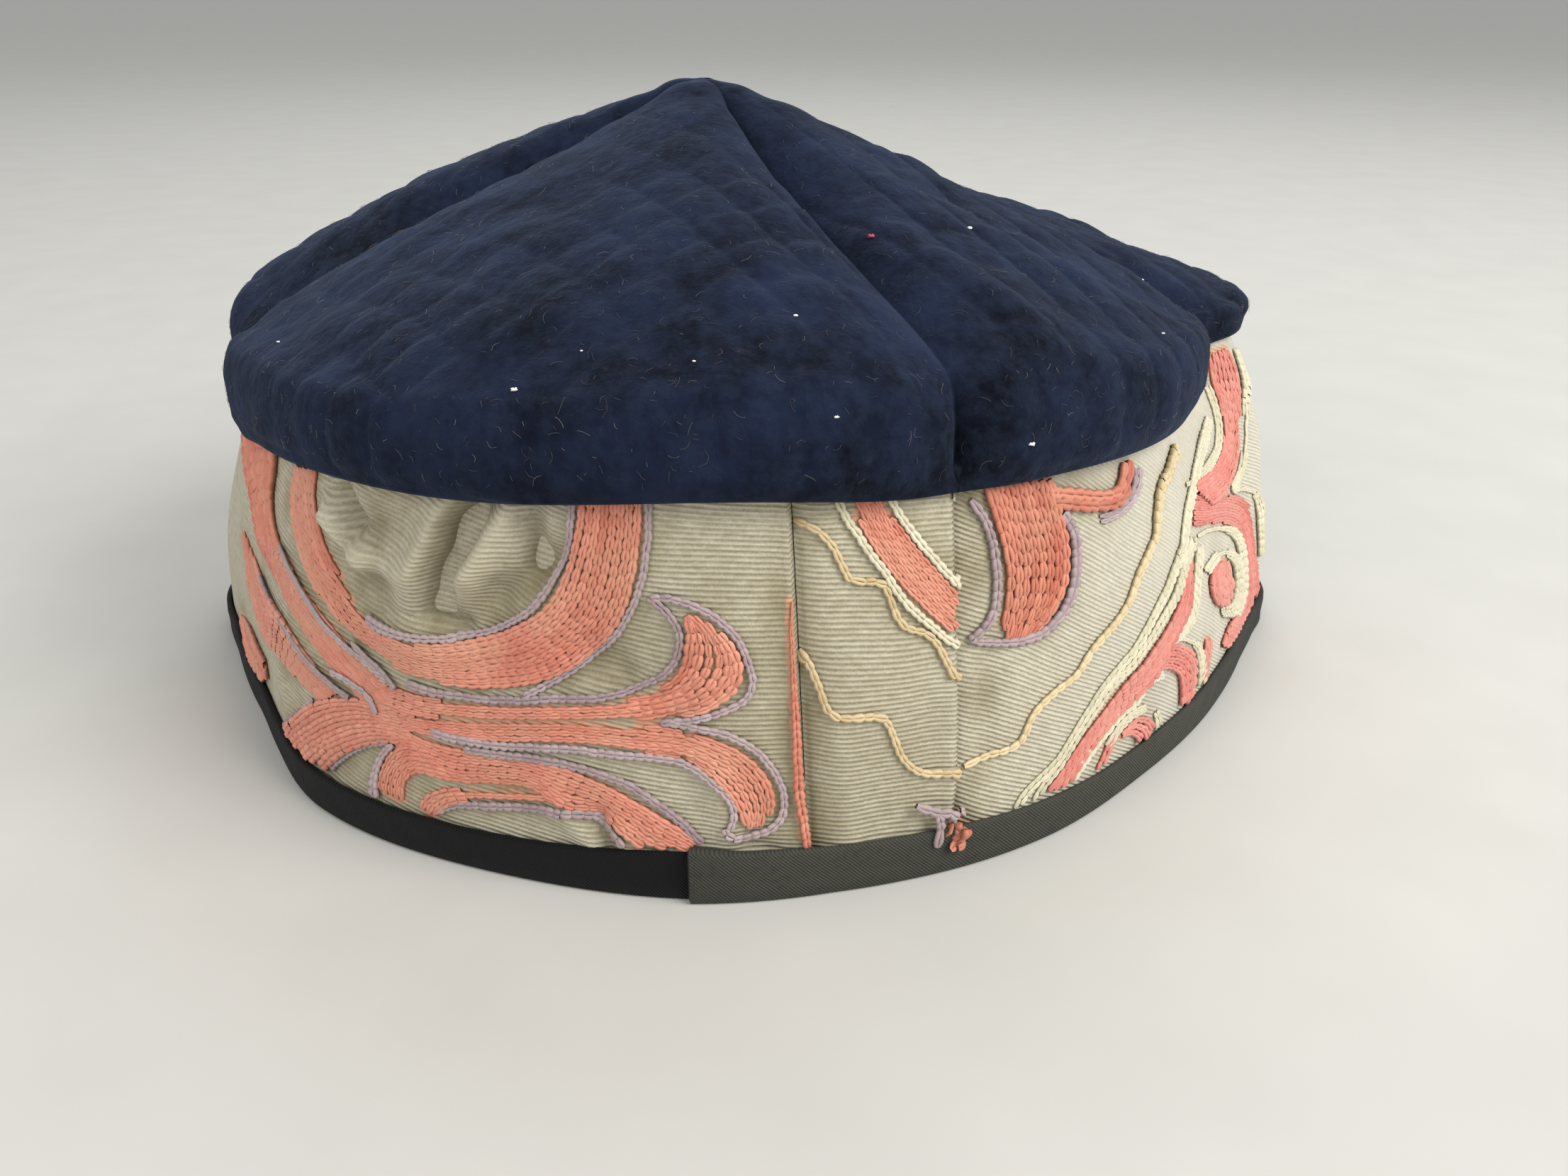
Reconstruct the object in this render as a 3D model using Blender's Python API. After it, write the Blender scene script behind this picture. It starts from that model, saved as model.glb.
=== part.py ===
"""A four-gore skullcap: padded velvet crown, pieced cloth band and a taped lower edge.

Lengths are in metres and +Z is up. Azimuths are in degrees from the front (-Y) towards +X.
The origin is the middle of the plane that the cap rests on.
"""

from math import ceil, cos, exp, hypot, pi, radians, sin

import bmesh
import bpy

# Driving sizes
HALF_WIDTH = 0.102
HALF_DEPTH = 0.085
CAP_HEIGHT = 0.0985
BAND_HEIGHT = 0.058
RIM_HEIGHT = 0.0145
RIM_OVERHANG = 0.0045
LIP_DEPTH = 0.0024
PEAK_OFFSET = 0.005
CROWN_WALL = 0.004
BAND_WALL = 0.0025
BINDING_WALL = 0.001
BINDING_HEIGHT = 0.0066
BINDING_ROUND = 0.0005
LAP_LENGTH = 0.020
CLEARANCE = 0.0003
CROWN_SEAT_GAP = 2 * CLEARANCE

# How finely the walls are cut up
DOME_STEPS = 11
BAND_ROWS = 5
COLUMN_ANGLE = 5.0
LEAST_STEP = 1.5
SHARP_EDGE = 50.0

# Linear colour and roughness of each material
VELVET = ((0.010, 0.014, 0.055), 0.90)
RIBBED_CLOTH = ((0.36, 0.34, 0.25), 0.85)
TAPE = ((0.012, 0.013, 0.015), 0.80)

# The band's panels meet at upright seams: azimuth at the lower edge and at the top.
FRONT_LEFT_SEAM = (8.0, 6.4)
FRONT_RIGHT_SEAM = (22.4, 22.2)
BACK_SEAM = (180.0, 180.0)
LAP_AZIMUTH = -3.4

# The crown's four gores meet along creases from the peak to the rim.
LEFT_CREASE = -80.0
FRONT_CREASE = FRONT_RIGHT_SEAM[1]
RIGHT_CREASE = 85.0
BACK_CREASE = 195.0
RIGHT_SWEEP = 20.0

# The oval is drawn in to these shares of itself on the way round, and the band leans in to its
# top. The crown's rim hangs out over the band, its foot rises and falls with the band's top
# edge, and its shoulder rises above the foot.
#   azimuth, base radius, band top radius, overhang, rim foot, shoulder, tape
#            of the oval  of the base      of its size, band height, rim height and tape height
OUTLINE = [
    (-180, 1.009, 0.868, 1.00, 0.965, 0.90, 0.95),
    (-152, 1.010, 0.862, 1.00, 0.960, 0.90, 0.95),
    (-130, 1.016, 0.864, 1.00, 0.940, 0.92, 0.95),
    (-110, 1.016, 0.842, 1.00, 0.905, 0.98, 0.95),
    (-91, 0.988, 0.842, 1.00, 0.875, 1.08, 0.95),
    (-80, 0.928, 0.884, 0.80, 0.850, 0.98, 0.95),
    (-67, 0.903, 0.900, 1.00, 0.845, 1.02, 0.95),
    (-58, 0.918, 0.893, 1.00, 0.880, 0.97, 0.95),
    (-44, 0.968, 0.885, 1.00, 0.918, 0.92, 0.95),
    (-22, 0.985, 0.925, 1.00, 0.955, 0.95, 1.00),
    (0, 1.000, 0.941, 1.00, 1.000, 1.00, 1.18),
    (20, 0.978, 0.920, 0.95, 0.962, 1.12, 1.12),
    (33, 0.952, 0.895, 1.00, 0.948, 1.12, 1.00),
    (50, 0.905, 0.892, 1.00, 0.926, 1.00, 0.95),
    (66, 0.898, 0.846, 1.00, 0.905, 0.92, 0.95),
    (78, 0.920, 0.812, 1.00, 0.928, 0.74, 0.95),
    (85, 0.956, 0.790, 0.85, 0.950, 0.54, 0.95),
    (90, 0.995, 0.835, 1.00, 0.972, 0.42, 0.95),
    (98, 1.012, 0.868, 1.00, 0.972, 0.44, 0.95),
    (112, 1.018, 0.876, 1.00, 0.965, 0.52, 0.95),
    (130, 1.010, 0.880, 1.00, 0.965, 0.72, 0.95),
    (152, 1.008, 0.864, 1.00, 0.965, 0.90, 0.95),
]

# From the peak out to the shoulder the crown falls from 1 to 0, deeper along a crease than
# over the middle of a gore.
#   share of the radius, height over a crease, height over a gore
DOME = [
    (0.00, 1.00, 1.00),
    (0.13, 0.81, 0.90),
    (0.27, 0.62, 0.77),
    (0.41, 0.46, 0.64),
    (0.55, 0.33, 0.50),
    (0.69, 0.24, 0.35),
    (0.83, 0.13, 0.17),
    (0.94, 0.00, 0.00),
]

# Then it turns over the shoulder and runs down the upright rim.
#   share of the radius, share of the way up from its seat to the shoulder
RIM = [
    (0.975, 0.84),
    (0.996, 0.54),
    (1.000, 0.26),
]
LIP_SHARE = 0.65

# Past this share of the radius the crown is centred on the band, and not on its own peak.
TRUE_SHARE = 0.90
SHOULDER_PULL = 0.8

# Each gore lies between two creases. It climbs out of each one fast or slowly, from a deep
# crease or a shallow one, to its own fullness in the middle.
#   name, first crease, last crease, steepness at each, depth of each, fullness, sweep at each
GORES = [
    ("crown_front_left", LEFT_CREASE, FRONT_CREASE, (3.0, 9.0), (0.35, 1.0), 1.00, (0, 0)),
    ("crown_front_right", FRONT_CREASE, RIGHT_CREASE, (2.2, 3.0), (1.0, 0.8), 0.85, (0, RIGHT_SWEEP)),
    ("crown_back_right", RIGHT_CREASE, BACK_CREASE, (3.0, 3.0), (0.8, 0.7), 0.30, (RIGHT_SWEEP, 0)),
    ("crown_back_left", BACK_CREASE, LEFT_CREASE + 360, (3.0, 5.0), (0.7, 0.35), 1.20, (0, 0)),
]
CREASE_PULL = 0.0016
CREASE_REACH = 5.0
PULL_ONSET = 4

# The gores end this far from the peak, and the long folds fade out towards it.
TIP_RADIUS = 0.0009
TIP_CALM = 0.15

# Long folds pushed up or pressed down in the crown's top.
#   start azimuth, start share of radius, end azimuth, end share, half width and lift of a wall
CROWN_FOLDS = [
    (27, 0.58, 34, 0.88, 1.5, 0.45),
    (38, 0.22, 42, 0.52, 1.8, 0.30),
    (58, 0.55, 66, 0.85, 1.6, -0.25),
    (-58, 0.80, -38, 0.68, 1.2, -0.30),
    (-52, 0.62, -30, 0.48, 1.4, -0.25),
    (-12, 0.70, -24, 0.86, 1.8, 0.25),
    (104, 0.60, 112, 0.90, 2.2, -0.30),
    (150, 0.45, 160, 0.85, 2.2, -0.30),
    (-150, 0.45, -140, 0.85, 2.2, -0.30),
]

# Soft dents and swellings of the band.
#   azimuth, height, half width round, half width up (shares of the band height), depth of a wall
BAND_DENTS = [
    (-22, 0.66, 0.09, 0.20, -0.80),
    (-31, 0.68, 0.09, 0.22, 0.60),
    (-9, 0.60, 0.16, 0.16, -0.45),
    (-52, 0.42, 0.22, 0.24, 0.40),
    (15, 0.45, 0.20, 0.40, 0.35),
    (50, 0.40, 0.30, 0.35, 0.45),
    (76, 0.80, 0.12, 0.20, -0.30),
    (90, 0.72, 0.16, 0.26, 1.10),
    (-84, 0.34, 0.40, 0.24, 0.35),
    (88, 0.25, 0.40, 0.20, 0.30),
    (120, 0.50, 0.34, 0.34, 0.40),
    (165, 0.45, 0.30, 0.30, -0.40),
    (-112, 0.50, 0.34, 0.34, 0.40),
    (-155, 0.50, 0.30, 0.30, -0.35),
]
BULGE_POWER = 1.7


def smooth_table(rows, position, period=None):
    """Each column at this position of the first column, by a cubic through the rows."""
    places = [row[0] for row in rows]
    count = len(rows)
    if period:
        position = places[0] + (position - places[0]) % period
    left = max(index for index in range(count) if places[index] <= position)
    if not period:
        left = min(left, count - 2)

    def row_at(index):
        if period:
            turns, wrapped = divmod(index, count)
            return (places[wrapped] + turns * period,) + tuple(rows[wrapped][1:])
        return rows[min(max(index, 0), count - 1)]

    before, first, last, after = (row_at(left + step) for step in (-1, 0, 1, 2))
    span = last[0] - first[0]
    part = (position - first[0]) / span
    values = []
    for column in range(1, len(rows[0])):
        start_slope = (last[column] - before[column]) / max(last[0] - before[0], span) * span
        end_slope = (after[column] - first[column]) / max(after[0] - first[0], span) * span
        values.append(
            first[column] * (1 - 3 * part**2 + 2 * part**3)
            + last[column] * (3 * part**2 - 2 * part**3)
            + start_slope * (part - 2 * part**2 + part**3)
            + end_slope * (part**3 - part**2)
        )
    return values


def turned(degrees):
    """The same azimuth between -180 and 180."""
    return (degrees + 180) % 360 - 180


def outward(azimuth):
    """Unit vector in plan."""
    return sin(radians(azimuth)), -cos(radians(azimuth))


class Around:
    """The radii and levels of the cap at one azimuth."""

    def __init__(self, azimuth):
        base, top, overhang, foot, shoulder, tape = smooth_table(OUTLINE, azimuth, 360)
        across, along = outward(azimuth)
        oval = 1 / hypot(across / HALF_WIDTH, along / HALF_DEPTH)
        self.azimuth = azimuth
        self.base = oval * base
        self.cloth_base = self.base - BINDING_WALL - CLEARANCE
        self.cloth_top = self.base * top
        self.foot = BAND_HEIGHT * foot
        self.seat = self.foot + LIP_DEPTH
        self.shoulder = self.foot + RIM_HEIGHT * shoulder
        self.rim = self.cloth_top + RIM_OVERHANG * overhang
        self.tape = BINDING_HEIGHT * tape

    def cloth(self, height):
        """Radius of the band's outer face at this height."""
        share = max(height, 0.0) / self.seat
        radius = self.cloth_base + (self.cloth_top - self.cloth_base) * share**BULGE_POWER
        dents = 0.0
        for azimuth, level, round_width, up_width, depth in BAND_DENTS:
            sideways = radians(turned(self.azimuth - azimuth)) * HALF_DEPTH
            upwards = height - level * BAND_HEIGHT
            reach = hypot(sideways / round_width, upwards / up_width) / BAND_HEIGHT
            dents += depth * exp(-(reach**2))
        edge_hold = max(0.0, sin(pi * min(share, 1.0)))
        return radius + BAND_WALL * dents * edge_hold


def solid_from(name, loops, faces, look):
    """One closed mesh object from rows of points and faces, given by row and place."""
    builder = bmesh.new()
    points = [[builder.verts.new(point) for point in loop] for loop in loops]
    for face in faces:
        builder.faces.new([points[row][place] for row, place in face])
    bmesh.ops.recalc_face_normals(builder, faces=builder.faces)
    mesh = bpy.data.meshes.new(name)
    builder.to_mesh(mesh)
    builder.free()
    mesh.shade_smooth()
    mesh.set_sharp_from_angle(angle=radians(SHARP_EDGE))
    colour, roughness = look
    material = bpy.data.materials.new(name)
    material.use_nodes = True
    surface = material.node_tree.nodes["Principled BSDF"]
    surface.inputs["Base Color"].default_value = (*colour, 1.0)
    surface.inputs["Roughness"].default_value = roughness
    surface.inputs["Metallic"].default_value = 0.0
    mesh.materials.append(material)
    piece = bpy.data.objects.new(name, mesh)
    bpy.context.collection.objects.link(piece)
    return piece


def side_faces(row_count, loop_length, ring=False):
    """Faces between each closed loop and the next."""
    faces = []
    for row in range(row_count if ring else row_count - 1):
        following = (row + 1) % row_count
        for place in range(loop_length):
            onward = (place + 1) % loop_length
            faces.append([(row, place), (row, onward), (following, onward), (following, place)])
    return faces


def fold_lift(x, y):
    """Height that the long folds add to the crown at this place in plan."""
    lift = 0.0
    for start, start_share, end, end_share, width, height in CROWN_FOLDS:
        ends = []
        for azimuth, share in ((start, start_share), (end, end_share)):
            ends.append(crown_plan(Around(azimuth), share))
        (x0, y0), (x1, y1) = ends
        length = hypot(x1 - x0, y1 - y0)
        along = ((x - x0) * (x1 - x0) + (y - y0) * (y1 - y0)) / length**2
        beyond = max(-along, 0.0, along - 1.0) * length
        aside = ((x - x0) * (y1 - y0) - (y - y0) * (x1 - x0)) / length
        reach = hypot(beyond, aside) / (width * CROWN_WALL)
        lift += height * CROWN_WALL * exp(-(reach**2))
    return lift


def crown_plan(around, share, sweep=0.0):
    """Place in plan on the way from the peak to the rim, which may sweep round near the peak."""
    inward = max(0.0, 1 - share / TRUE_SHARE)
    across, along = outward(around.azimuth + sweep * inward)
    return (
        -PEAK_OFFSET * inward + around.rim * share * across,
        around.rim * share * along,
    )


def gore_weight(part, steepness, depths, fullness):
    """0 along a deep crease, rising to the gore's fullness in its middle."""
    end = 0 if part < 0.5 else 1
    return fullness * (1 - depths[end] * abs(2 * part - 1) ** steepness[end])


def crease_pull(around, first, last):
    """How far the rim is drawn in beside a crease."""
    nearest = min(abs(turned(around.azimuth - first)), abs(turned(around.azimuth - last)))
    return CREASE_PULL * exp(-((nearest / CREASE_REACH) ** 2))


def dome_profile(around, weight, pull, sweep):
    """Outer profile of the crown's top, from the peak to the shoulder, as radii and heights."""
    climb = CAP_HEIGHT - around.shoulder
    profile = []
    for step in range(DOME_STEPS + 1):
        share = DOME[-1][0] * step / DOME_STEPS
        over_crease, over_gore = smooth_table(DOME, share)
        fall = over_crease + (over_gore - over_crease) * weight
        share = max(share, TIP_RADIUS / around.rim)
        x, y = crown_plan(around, share, sweep)
        lift = fold_lift(x, y) * min(1.0, share / TIP_CALM)
        height = around.shoulder + climb * fall + lift - pull * SHOULDER_PULL * share
        profile.append((share * around.rim - pull * share**PULL_ONSET, height))
    return profile


def offset_inward(profile, wall, least_height):
    """The profile moved in by the wall, at right angles to itself."""
    moved = []
    for place, (radius, height) in enumerate(profile):
        before = profile[max(place - 1, 0)]
        after = profile[min(place + 1, len(profile) - 1)]
        run, rise = after[0] - before[0], after[1] - before[1]
        slope = hypot(run, rise)
        inner_radius = max(radius + wall * rise / slope, 0.0)
        moved.append((inner_radius, max(height - wall * run / slope, least_height)))
    return moved


def gore_section(around, weight, pull, sweep):
    """Outer profile, lip and inner profile of a gore at one azimuth, as radii and heights."""
    outer = dome_profile(around, weight, pull, sweep)
    inner = offset_inward(outer, CROWN_WALL, around.seat + CROWN_SEAT_GAP)
    for share, level in RIM:
        height = around.seat + level * (around.shoulder - around.seat)
        outer.append((share * around.rim - pull, height - pull * SHOULDER_PULL * level))
    seat_radius = around.cloth(around.seat)
    lip_inside = around.cloth(around.foot) + CLEARANCE
    seat_corner = (seat_radius - BAND_WALL, around.seat + CLEARANCE)
    lip = [
        (around.rim - pull, around.seat + CLEARANCE),
        (lip_inside + (around.rim - pull - lip_inside) * LIP_SHARE, around.foot),
        (lip_inside, around.foot),
        (seat_radius + CLEARANCE, around.seat + CLEARANCE),
        seat_corner,
    ]
    top = (min(inner[-1][0], seat_corner[0]), inner[-1][1])
    inner[-1] = top
    for step in range(1, len(RIM) + 1):
        part = step / (len(RIM) + 1)
        inner.append(tuple(top[axis] + (seat_corner[axis] - top[axis]) * part for axis in (0, 1)))
    return outer, lip, inner[::-1]


def azimuth_stops(first, last):
    """Both ends and the whole steps between them, which all the pieces share."""
    steps = range(ceil((first + LEAST_STEP) / COLUMN_ANGLE), ceil((last - LEAST_STEP) / COLUMN_ANGLE))
    return [first] + [step * COLUMN_ANGLE for step in steps] + [last]


def crown_gore(name, first, last, steepness, depths, fullness, sweeps):
    """One padded gore from crease to crease, with its rim and the lip over the band."""
    loops = []
    for azimuth in azimuth_stops(first, last):
        part = (azimuth - first) / (last - first)
        around = Around(turned(azimuth))
        sweep = sweeps[0] + (sweeps[1] - sweeps[0]) * part
        weight = gore_weight(part, steepness, depths, fullness)
        pull = crease_pull(around, first, last)
        outer, lip, inner = gore_section(around, weight, pull, sweep)
        inset = [0.0, 0.0]
        for crease, side, influence in ((first, 1, 1 - part), (last, -1, part)):
            across, along = outward(crease)
            inset[0] -= side * along * influence * CLEARANCE / 2
            inset[1] += side * across * influence * CLEARANCE / 2
        loop = []
        for radius, height in outer + lip + inner:
            x, y = crown_plan(around, max(radius, TIP_RADIUS) / around.rim, sweep)
            loop.append((x + inset[0], y + inset[1], height))
        loops.append(loop)
    profile = DOME_STEPS + 1 + len(RIM)
    length = len(loops[0])
    faces = side_faces(len(loops), length)
    for row in (0, len(loops) - 1):
        for place in range(profile - 1):
            opposite = length - 1 - place
            faces.append([(row, place), (row, place + 1), (row, opposite - 1), (row, opposite)])
        last_outer, seat, seat_inner = profile - 1, profile + 3, profile + 4
        faces.append(
            [(row, last_outer), (row, profile), (row, seat), (row, seat_inner), (row, seat_inner + 1)]
        )
        faces.append([(row, profile), (row, profile + 1), (row, profile + 2), (row, seat)])
    return solid_from(name, loops, faces, VELVET)


def panel_azimuths(first, last):
    """Azimuth pairs at the lower edge and the top, from seam to seam."""
    gap = CLEARANCE / 2 / HALF_DEPTH * 180 / pi
    stops = azimuth_stops(max(first), min(last))[1:-1]
    start = (first[0] + gap, first[1] + gap)
    end = (last[0] - gap, last[1] - gap)
    return [start] + [(stop, stop) for stop in stops] + [end]


def band_levels(around):
    """Heights of the band's rows, two of which lie at the tape's edge and at the crown's foot."""
    rise = (around.foot - around.tape) / BAND_ROWS
    between = [around.tape + rise * row for row in range(BAND_ROWS + 1)]
    return [BINDING_WALL + CLEARANCE] + between + [around.seat]


def band_panel(name, first, last):
    """One cloth panel of the band, a wall between two seams."""
    loops = []
    for low_azimuth, top_azimuth in panel_azimuths(first, last):
        outer = []
        inner = []
        for row in range(BAND_ROWS + 3):
            part = row / (BAND_ROWS + 2)
            around = Around(turned(low_azimuth + (top_azimuth - low_azimuth) * part))
            height = band_levels(around)[row]
            radius = around.cloth(height)
            across, along = outward(around.azimuth)
            outer.append((radius * across, radius * along, height))
            radius -= BAND_WALL
            inner.append((radius * across, radius * along, height))
        loops.append(outer + inner[::-1])
    length = len(loops[0])
    faces = side_faces(len(loops), length)
    for row in (0, len(loops) - 1):
        for place in range(BAND_ROWS + 2):
            opposite = length - 1 - place
            faces.append([(row, place), (row, place + 1), (row, opposite - 1), (row, opposite)])
    return solid_from(name, loops, faces, RIBBED_CLOTH)


def edge_binding():
    """Tape folded round the lower edge, as one ring whose end laps over its start."""
    loops = []
    lap_angle = LAP_LENGTH / HALF_DEPTH * 180 / pi
    step_angle = BINDING_WALL / HALF_DEPTH * 180 / pi
    stops = azimuth_stops(LAP_AZIMUTH, LAP_AZIMUTH + 360)[:-1]
    for azimuth in [stops[0], stops[0] + step_angle] + stops[1:]:
        around = Around(turned(azimuth))
        offset = azimuth - LAP_AZIMUTH
        proud = BINDING_WALL * max(0.0, 1 - offset / lap_angle) if offset > 0 else 0.0
        top_face = around.cloth(around.tape)
        low_face = around.cloth(BINDING_WALL)
        out_low = low_face + CLEARANCE + BINDING_WALL + proud
        out_top = top_face + CLEARANCE + BINDING_WALL + proud
        in_low = low_face - BAND_WALL - CLEARANCE - BINDING_WALL
        in_top = top_face - BAND_WALL - CLEARANCE - BINDING_WALL
        section = [
            (out_low - BINDING_ROUND, 0.0),
            (out_low, BINDING_ROUND),
            (out_top, around.tape),
            (top_face + CLEARANCE, around.tape),
            (low_face + CLEARANCE, BINDING_WALL),
            (in_low + BINDING_WALL, BINDING_WALL),
            (in_top + BINDING_WALL, around.tape),
            (in_top, around.tape),
            (in_low, BINDING_ROUND),
            (in_low + BINDING_ROUND, 0.0),
        ]
        across, along = outward(around.azimuth)
        loops.append([(radius * across, radius * along, height) for radius, height in section])
    faces = side_faces(len(loops), len(loops[0]), ring=True)
    return solid_from("edge_binding", loops, faces, TAPE)


def build():
    for old in list(bpy.data.objects):
        bpy.data.objects.remove(old, do_unlink=True)
    cap = bpy.data.objects.new("skullcap", None)
    bpy.context.collection.objects.link(cap)
    pieces = [crown_gore(*row) for row in GORES]
    back = (BACK_SEAM[0] - 360, BACK_SEAM[1] - 360)
    pieces.append(band_panel("band_left", back, FRONT_LEFT_SEAM))
    pieces.append(band_panel("band_insert", FRONT_LEFT_SEAM, FRONT_RIGHT_SEAM))
    pieces.append(band_panel("band_right", FRONT_RIGHT_SEAM, BACK_SEAM))
    pieces.append(edge_binding())
    for piece in pieces:
        piece.parent = cap


build()
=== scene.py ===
"""The looks of a four-gore skullcap: quilted velvet crown, pieced ribbed band with chain-stitch
embroidery, and a dark taped edge.

Lengths are in metres and +Z is up. Azimuths are in degrees from the front (-Y) towards +X.
Pixels are those of a 2212 by 1659 frame seen by this script's own camera.
"""

from math import cos, pi, radians, sin

import bpy
import numpy as np
from mathutils import Euler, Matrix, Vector
from mathutils import noise as smooth_noise
from mathutils.kdtree import KDTree


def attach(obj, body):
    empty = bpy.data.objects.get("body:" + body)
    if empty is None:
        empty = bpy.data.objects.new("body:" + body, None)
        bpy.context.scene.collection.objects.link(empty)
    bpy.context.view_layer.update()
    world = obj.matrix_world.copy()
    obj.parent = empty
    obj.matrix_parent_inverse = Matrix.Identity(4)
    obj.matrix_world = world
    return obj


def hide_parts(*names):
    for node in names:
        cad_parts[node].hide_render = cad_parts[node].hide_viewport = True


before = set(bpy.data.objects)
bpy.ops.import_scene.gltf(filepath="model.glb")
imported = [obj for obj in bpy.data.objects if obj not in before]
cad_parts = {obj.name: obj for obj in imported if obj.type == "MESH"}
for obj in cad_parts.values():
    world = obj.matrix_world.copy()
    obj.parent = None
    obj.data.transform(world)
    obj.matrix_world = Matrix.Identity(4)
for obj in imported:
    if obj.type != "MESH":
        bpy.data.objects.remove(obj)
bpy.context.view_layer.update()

# Sizes of the cap, as in the solids
HALF_WIDTH = 0.102
HALF_DEPTH = 0.085
CAP_HEIGHT = 0.0985
BAND_HEIGHT = 0.058
RIM_HEIGHT = 0.0145
RIM_OVERHANG = 0.0045
LIP_DEPTH = 0.0024
PEAK_OFFSET = 0.005
CROWN_WALL = 0.004
BAND_WALL = 0.0025
BINDING_WALL = 0.001
BINDING_HEIGHT = 0.0066
LAP_LENGTH = 0.020
CLEARANCE = 0.0003
SEAM_GAP = 0.00012
CREASE_GAP = 0.00003

# The band's panels meet at upright seams: azimuth at the lower edge and at the top.
FRONT_LEFT_SEAM = (8.0, 6.4)
FRONT_RIGHT_SEAM = (22.4, 22.2)
BACK_SEAM = (180.0, 180.0)
LAP_AZIMUTH = -3.4

# The crown's gores meet along creases.
LEFT_CREASE = -80.0
FRONT_CREASE = FRONT_RIGHT_SEAM[1]
RIGHT_CREASE = 85.0
BACK_CREASE = 195.0
RIGHT_SWEEP = 20.0

#   azimuth, then shares: base radius of the oval, band top of the base, overhang of its size,
#   rim foot of the band height, shoulder of the rim height, tape of the tape height
OUTLINE = [
    (-180, 1.009, 0.868, 1.00, 0.965, 0.90, 0.95),
    (-152, 1.010, 0.862, 1.00, 0.960, 0.90, 0.95),
    (-130, 1.016, 0.864, 1.00, 0.940, 0.92, 0.95),
    (-110, 1.016, 0.842, 1.00, 0.905, 0.98, 0.95),
    (-91, 0.988, 0.842, 1.00, 0.875, 1.08, 0.95),
    (-80, 0.928, 0.884, 0.80, 0.850, 0.98, 0.95),
    (-67, 0.903, 0.900, 1.00, 0.845, 1.02, 0.95),
    (-58, 0.918, 0.893, 1.00, 0.880, 0.97, 0.95),
    (-44, 0.968, 0.885, 1.00, 0.918, 0.92, 0.95),
    (-22, 0.985, 0.925, 1.00, 0.955, 0.95, 1.00),
    (0, 1.000, 0.941, 1.00, 1.000, 1.00, 1.18),
    (20, 0.978, 0.920, 0.95, 0.962, 1.12, 1.12),
    (33, 0.952, 0.895, 1.00, 0.948, 1.12, 1.00),
    (50, 0.905, 0.892, 1.00, 0.926, 1.00, 0.95),
    (66, 0.898, 0.846, 1.00, 0.905, 0.92, 0.95),
    (78, 0.920, 0.812, 1.00, 0.928, 0.74, 0.95),
    (85, 0.956, 0.790, 0.85, 0.950, 0.54, 0.95),
    (90, 0.995, 0.835, 1.00, 0.972, 0.42, 0.95),
    (98, 1.012, 0.868, 1.00, 0.972, 0.44, 0.95),
    (112, 1.018, 0.876, 1.00, 0.965, 0.52, 0.95),
    (130, 1.010, 0.880, 1.00, 0.965, 0.72, 0.95),
    (152, 1.008, 0.864, 1.00, 0.965, 0.90, 0.95),
]

#   share of the radius, height over a crease, height over a gore
DOME = [
    (0.00, 1.00, 1.00),
    (0.13, 0.81, 0.90),
    (0.27, 0.62, 0.77),
    (0.41, 0.46, 0.64),
    (0.55, 0.33, 0.50),
    (0.69, 0.24, 0.35),
    (0.83, 0.13, 0.17),
    (0.94, 0.00, 0.00),
]

#   share of the radius, share of the way up from its seat to the shoulder
RIM = [
    (0.975, 0.84),
    (0.996, 0.54),
    (1.000, 0.26),
]
LIP_SHARE = 0.65
TRUE_SHARE = 0.90
SHOULDER_PULL = 0.8

#   name, first crease, last crease, steepness at each, depth of each, fullness, sweep at each
GORES = [
    ("crown_front_left", LEFT_CREASE, FRONT_CREASE, (3.0, 9.0), (0.35, 1.0), 1.00, (0, 0)),
    ("crown_front_right", FRONT_CREASE, RIGHT_CREASE, (2.2, 3.0), (1.0, 0.8), 0.85, (0, RIGHT_SWEEP)),
    ("crown_back_right", RIGHT_CREASE, BACK_CREASE, (3.0, 3.0), (0.8, 0.7), 0.30, (RIGHT_SWEEP, 0)),
    ("crown_back_left", BACK_CREASE, LEFT_CREASE + 360, (3.0, 5.0), (0.7, 0.35), 1.20, (0, 0)),
]
CREASE_PULL = 0.0016
CREASE_REACH = 5.0
PULL_ONSET = 4
TIP_RADIUS = 0.0009
TIP_CALM = 0.15

#   start azimuth, start share of radius, end azimuth, end share, half width and lift of a wall
CROWN_FOLDS = [
    (72, 0.20, 84, 0.55, 4.5, 0.30),
    (27, 0.58, 34, 0.88, 1.5, 0.45),
    (38, 0.22, 42, 0.52, 1.8, 0.30),
    (58, 0.55, 66, 0.85, 1.6, -0.25),
    (-58, 0.80, -38, 0.68, 1.2, -0.30),
    (-52, 0.62, -30, 0.48, 1.4, -0.25),
    (-12, 0.70, -24, 0.86, 1.8, 0.25),
    (104, 0.60, 112, 0.90, 2.2, -0.30),
    (150, 0.45, 160, 0.85, 2.2, -0.30),
    (-150, 0.45, -140, 0.85, 2.2, -0.30),
]

#   azimuth, height, half width round, half width up (shares of the band height), depth of a wall
BAND_DENTS = [
    (-22, 0.66, 0.09, 0.20, -0.80),
    (-31, 0.68, 0.09, 0.22, 0.60),
    (-9, 0.60, 0.16, 0.16, -0.45),
    (-52, 0.42, 0.22, 0.24, 0.40),
    (15, 0.45, 0.20, 0.40, 0.35),
    (50, 0.40, 0.30, 0.35, 0.45),
    (76, 0.80, 0.12, 0.20, -0.30),
    (90, 0.72, 0.16, 0.26, 1.10),
    (-84, 0.34, 0.40, 0.24, 0.35),
    (88, 0.25, 0.40, 0.20, 0.30),
    (120, 0.50, 0.34, 0.34, 0.40),
    (165, 0.45, 0.30, 0.30, -0.40),
    (-112, 0.50, 0.34, 0.34, 0.40),
    (-155, 0.50, 0.30, 0.30, -0.35),
]
BULGE_POWER = 1.7
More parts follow.
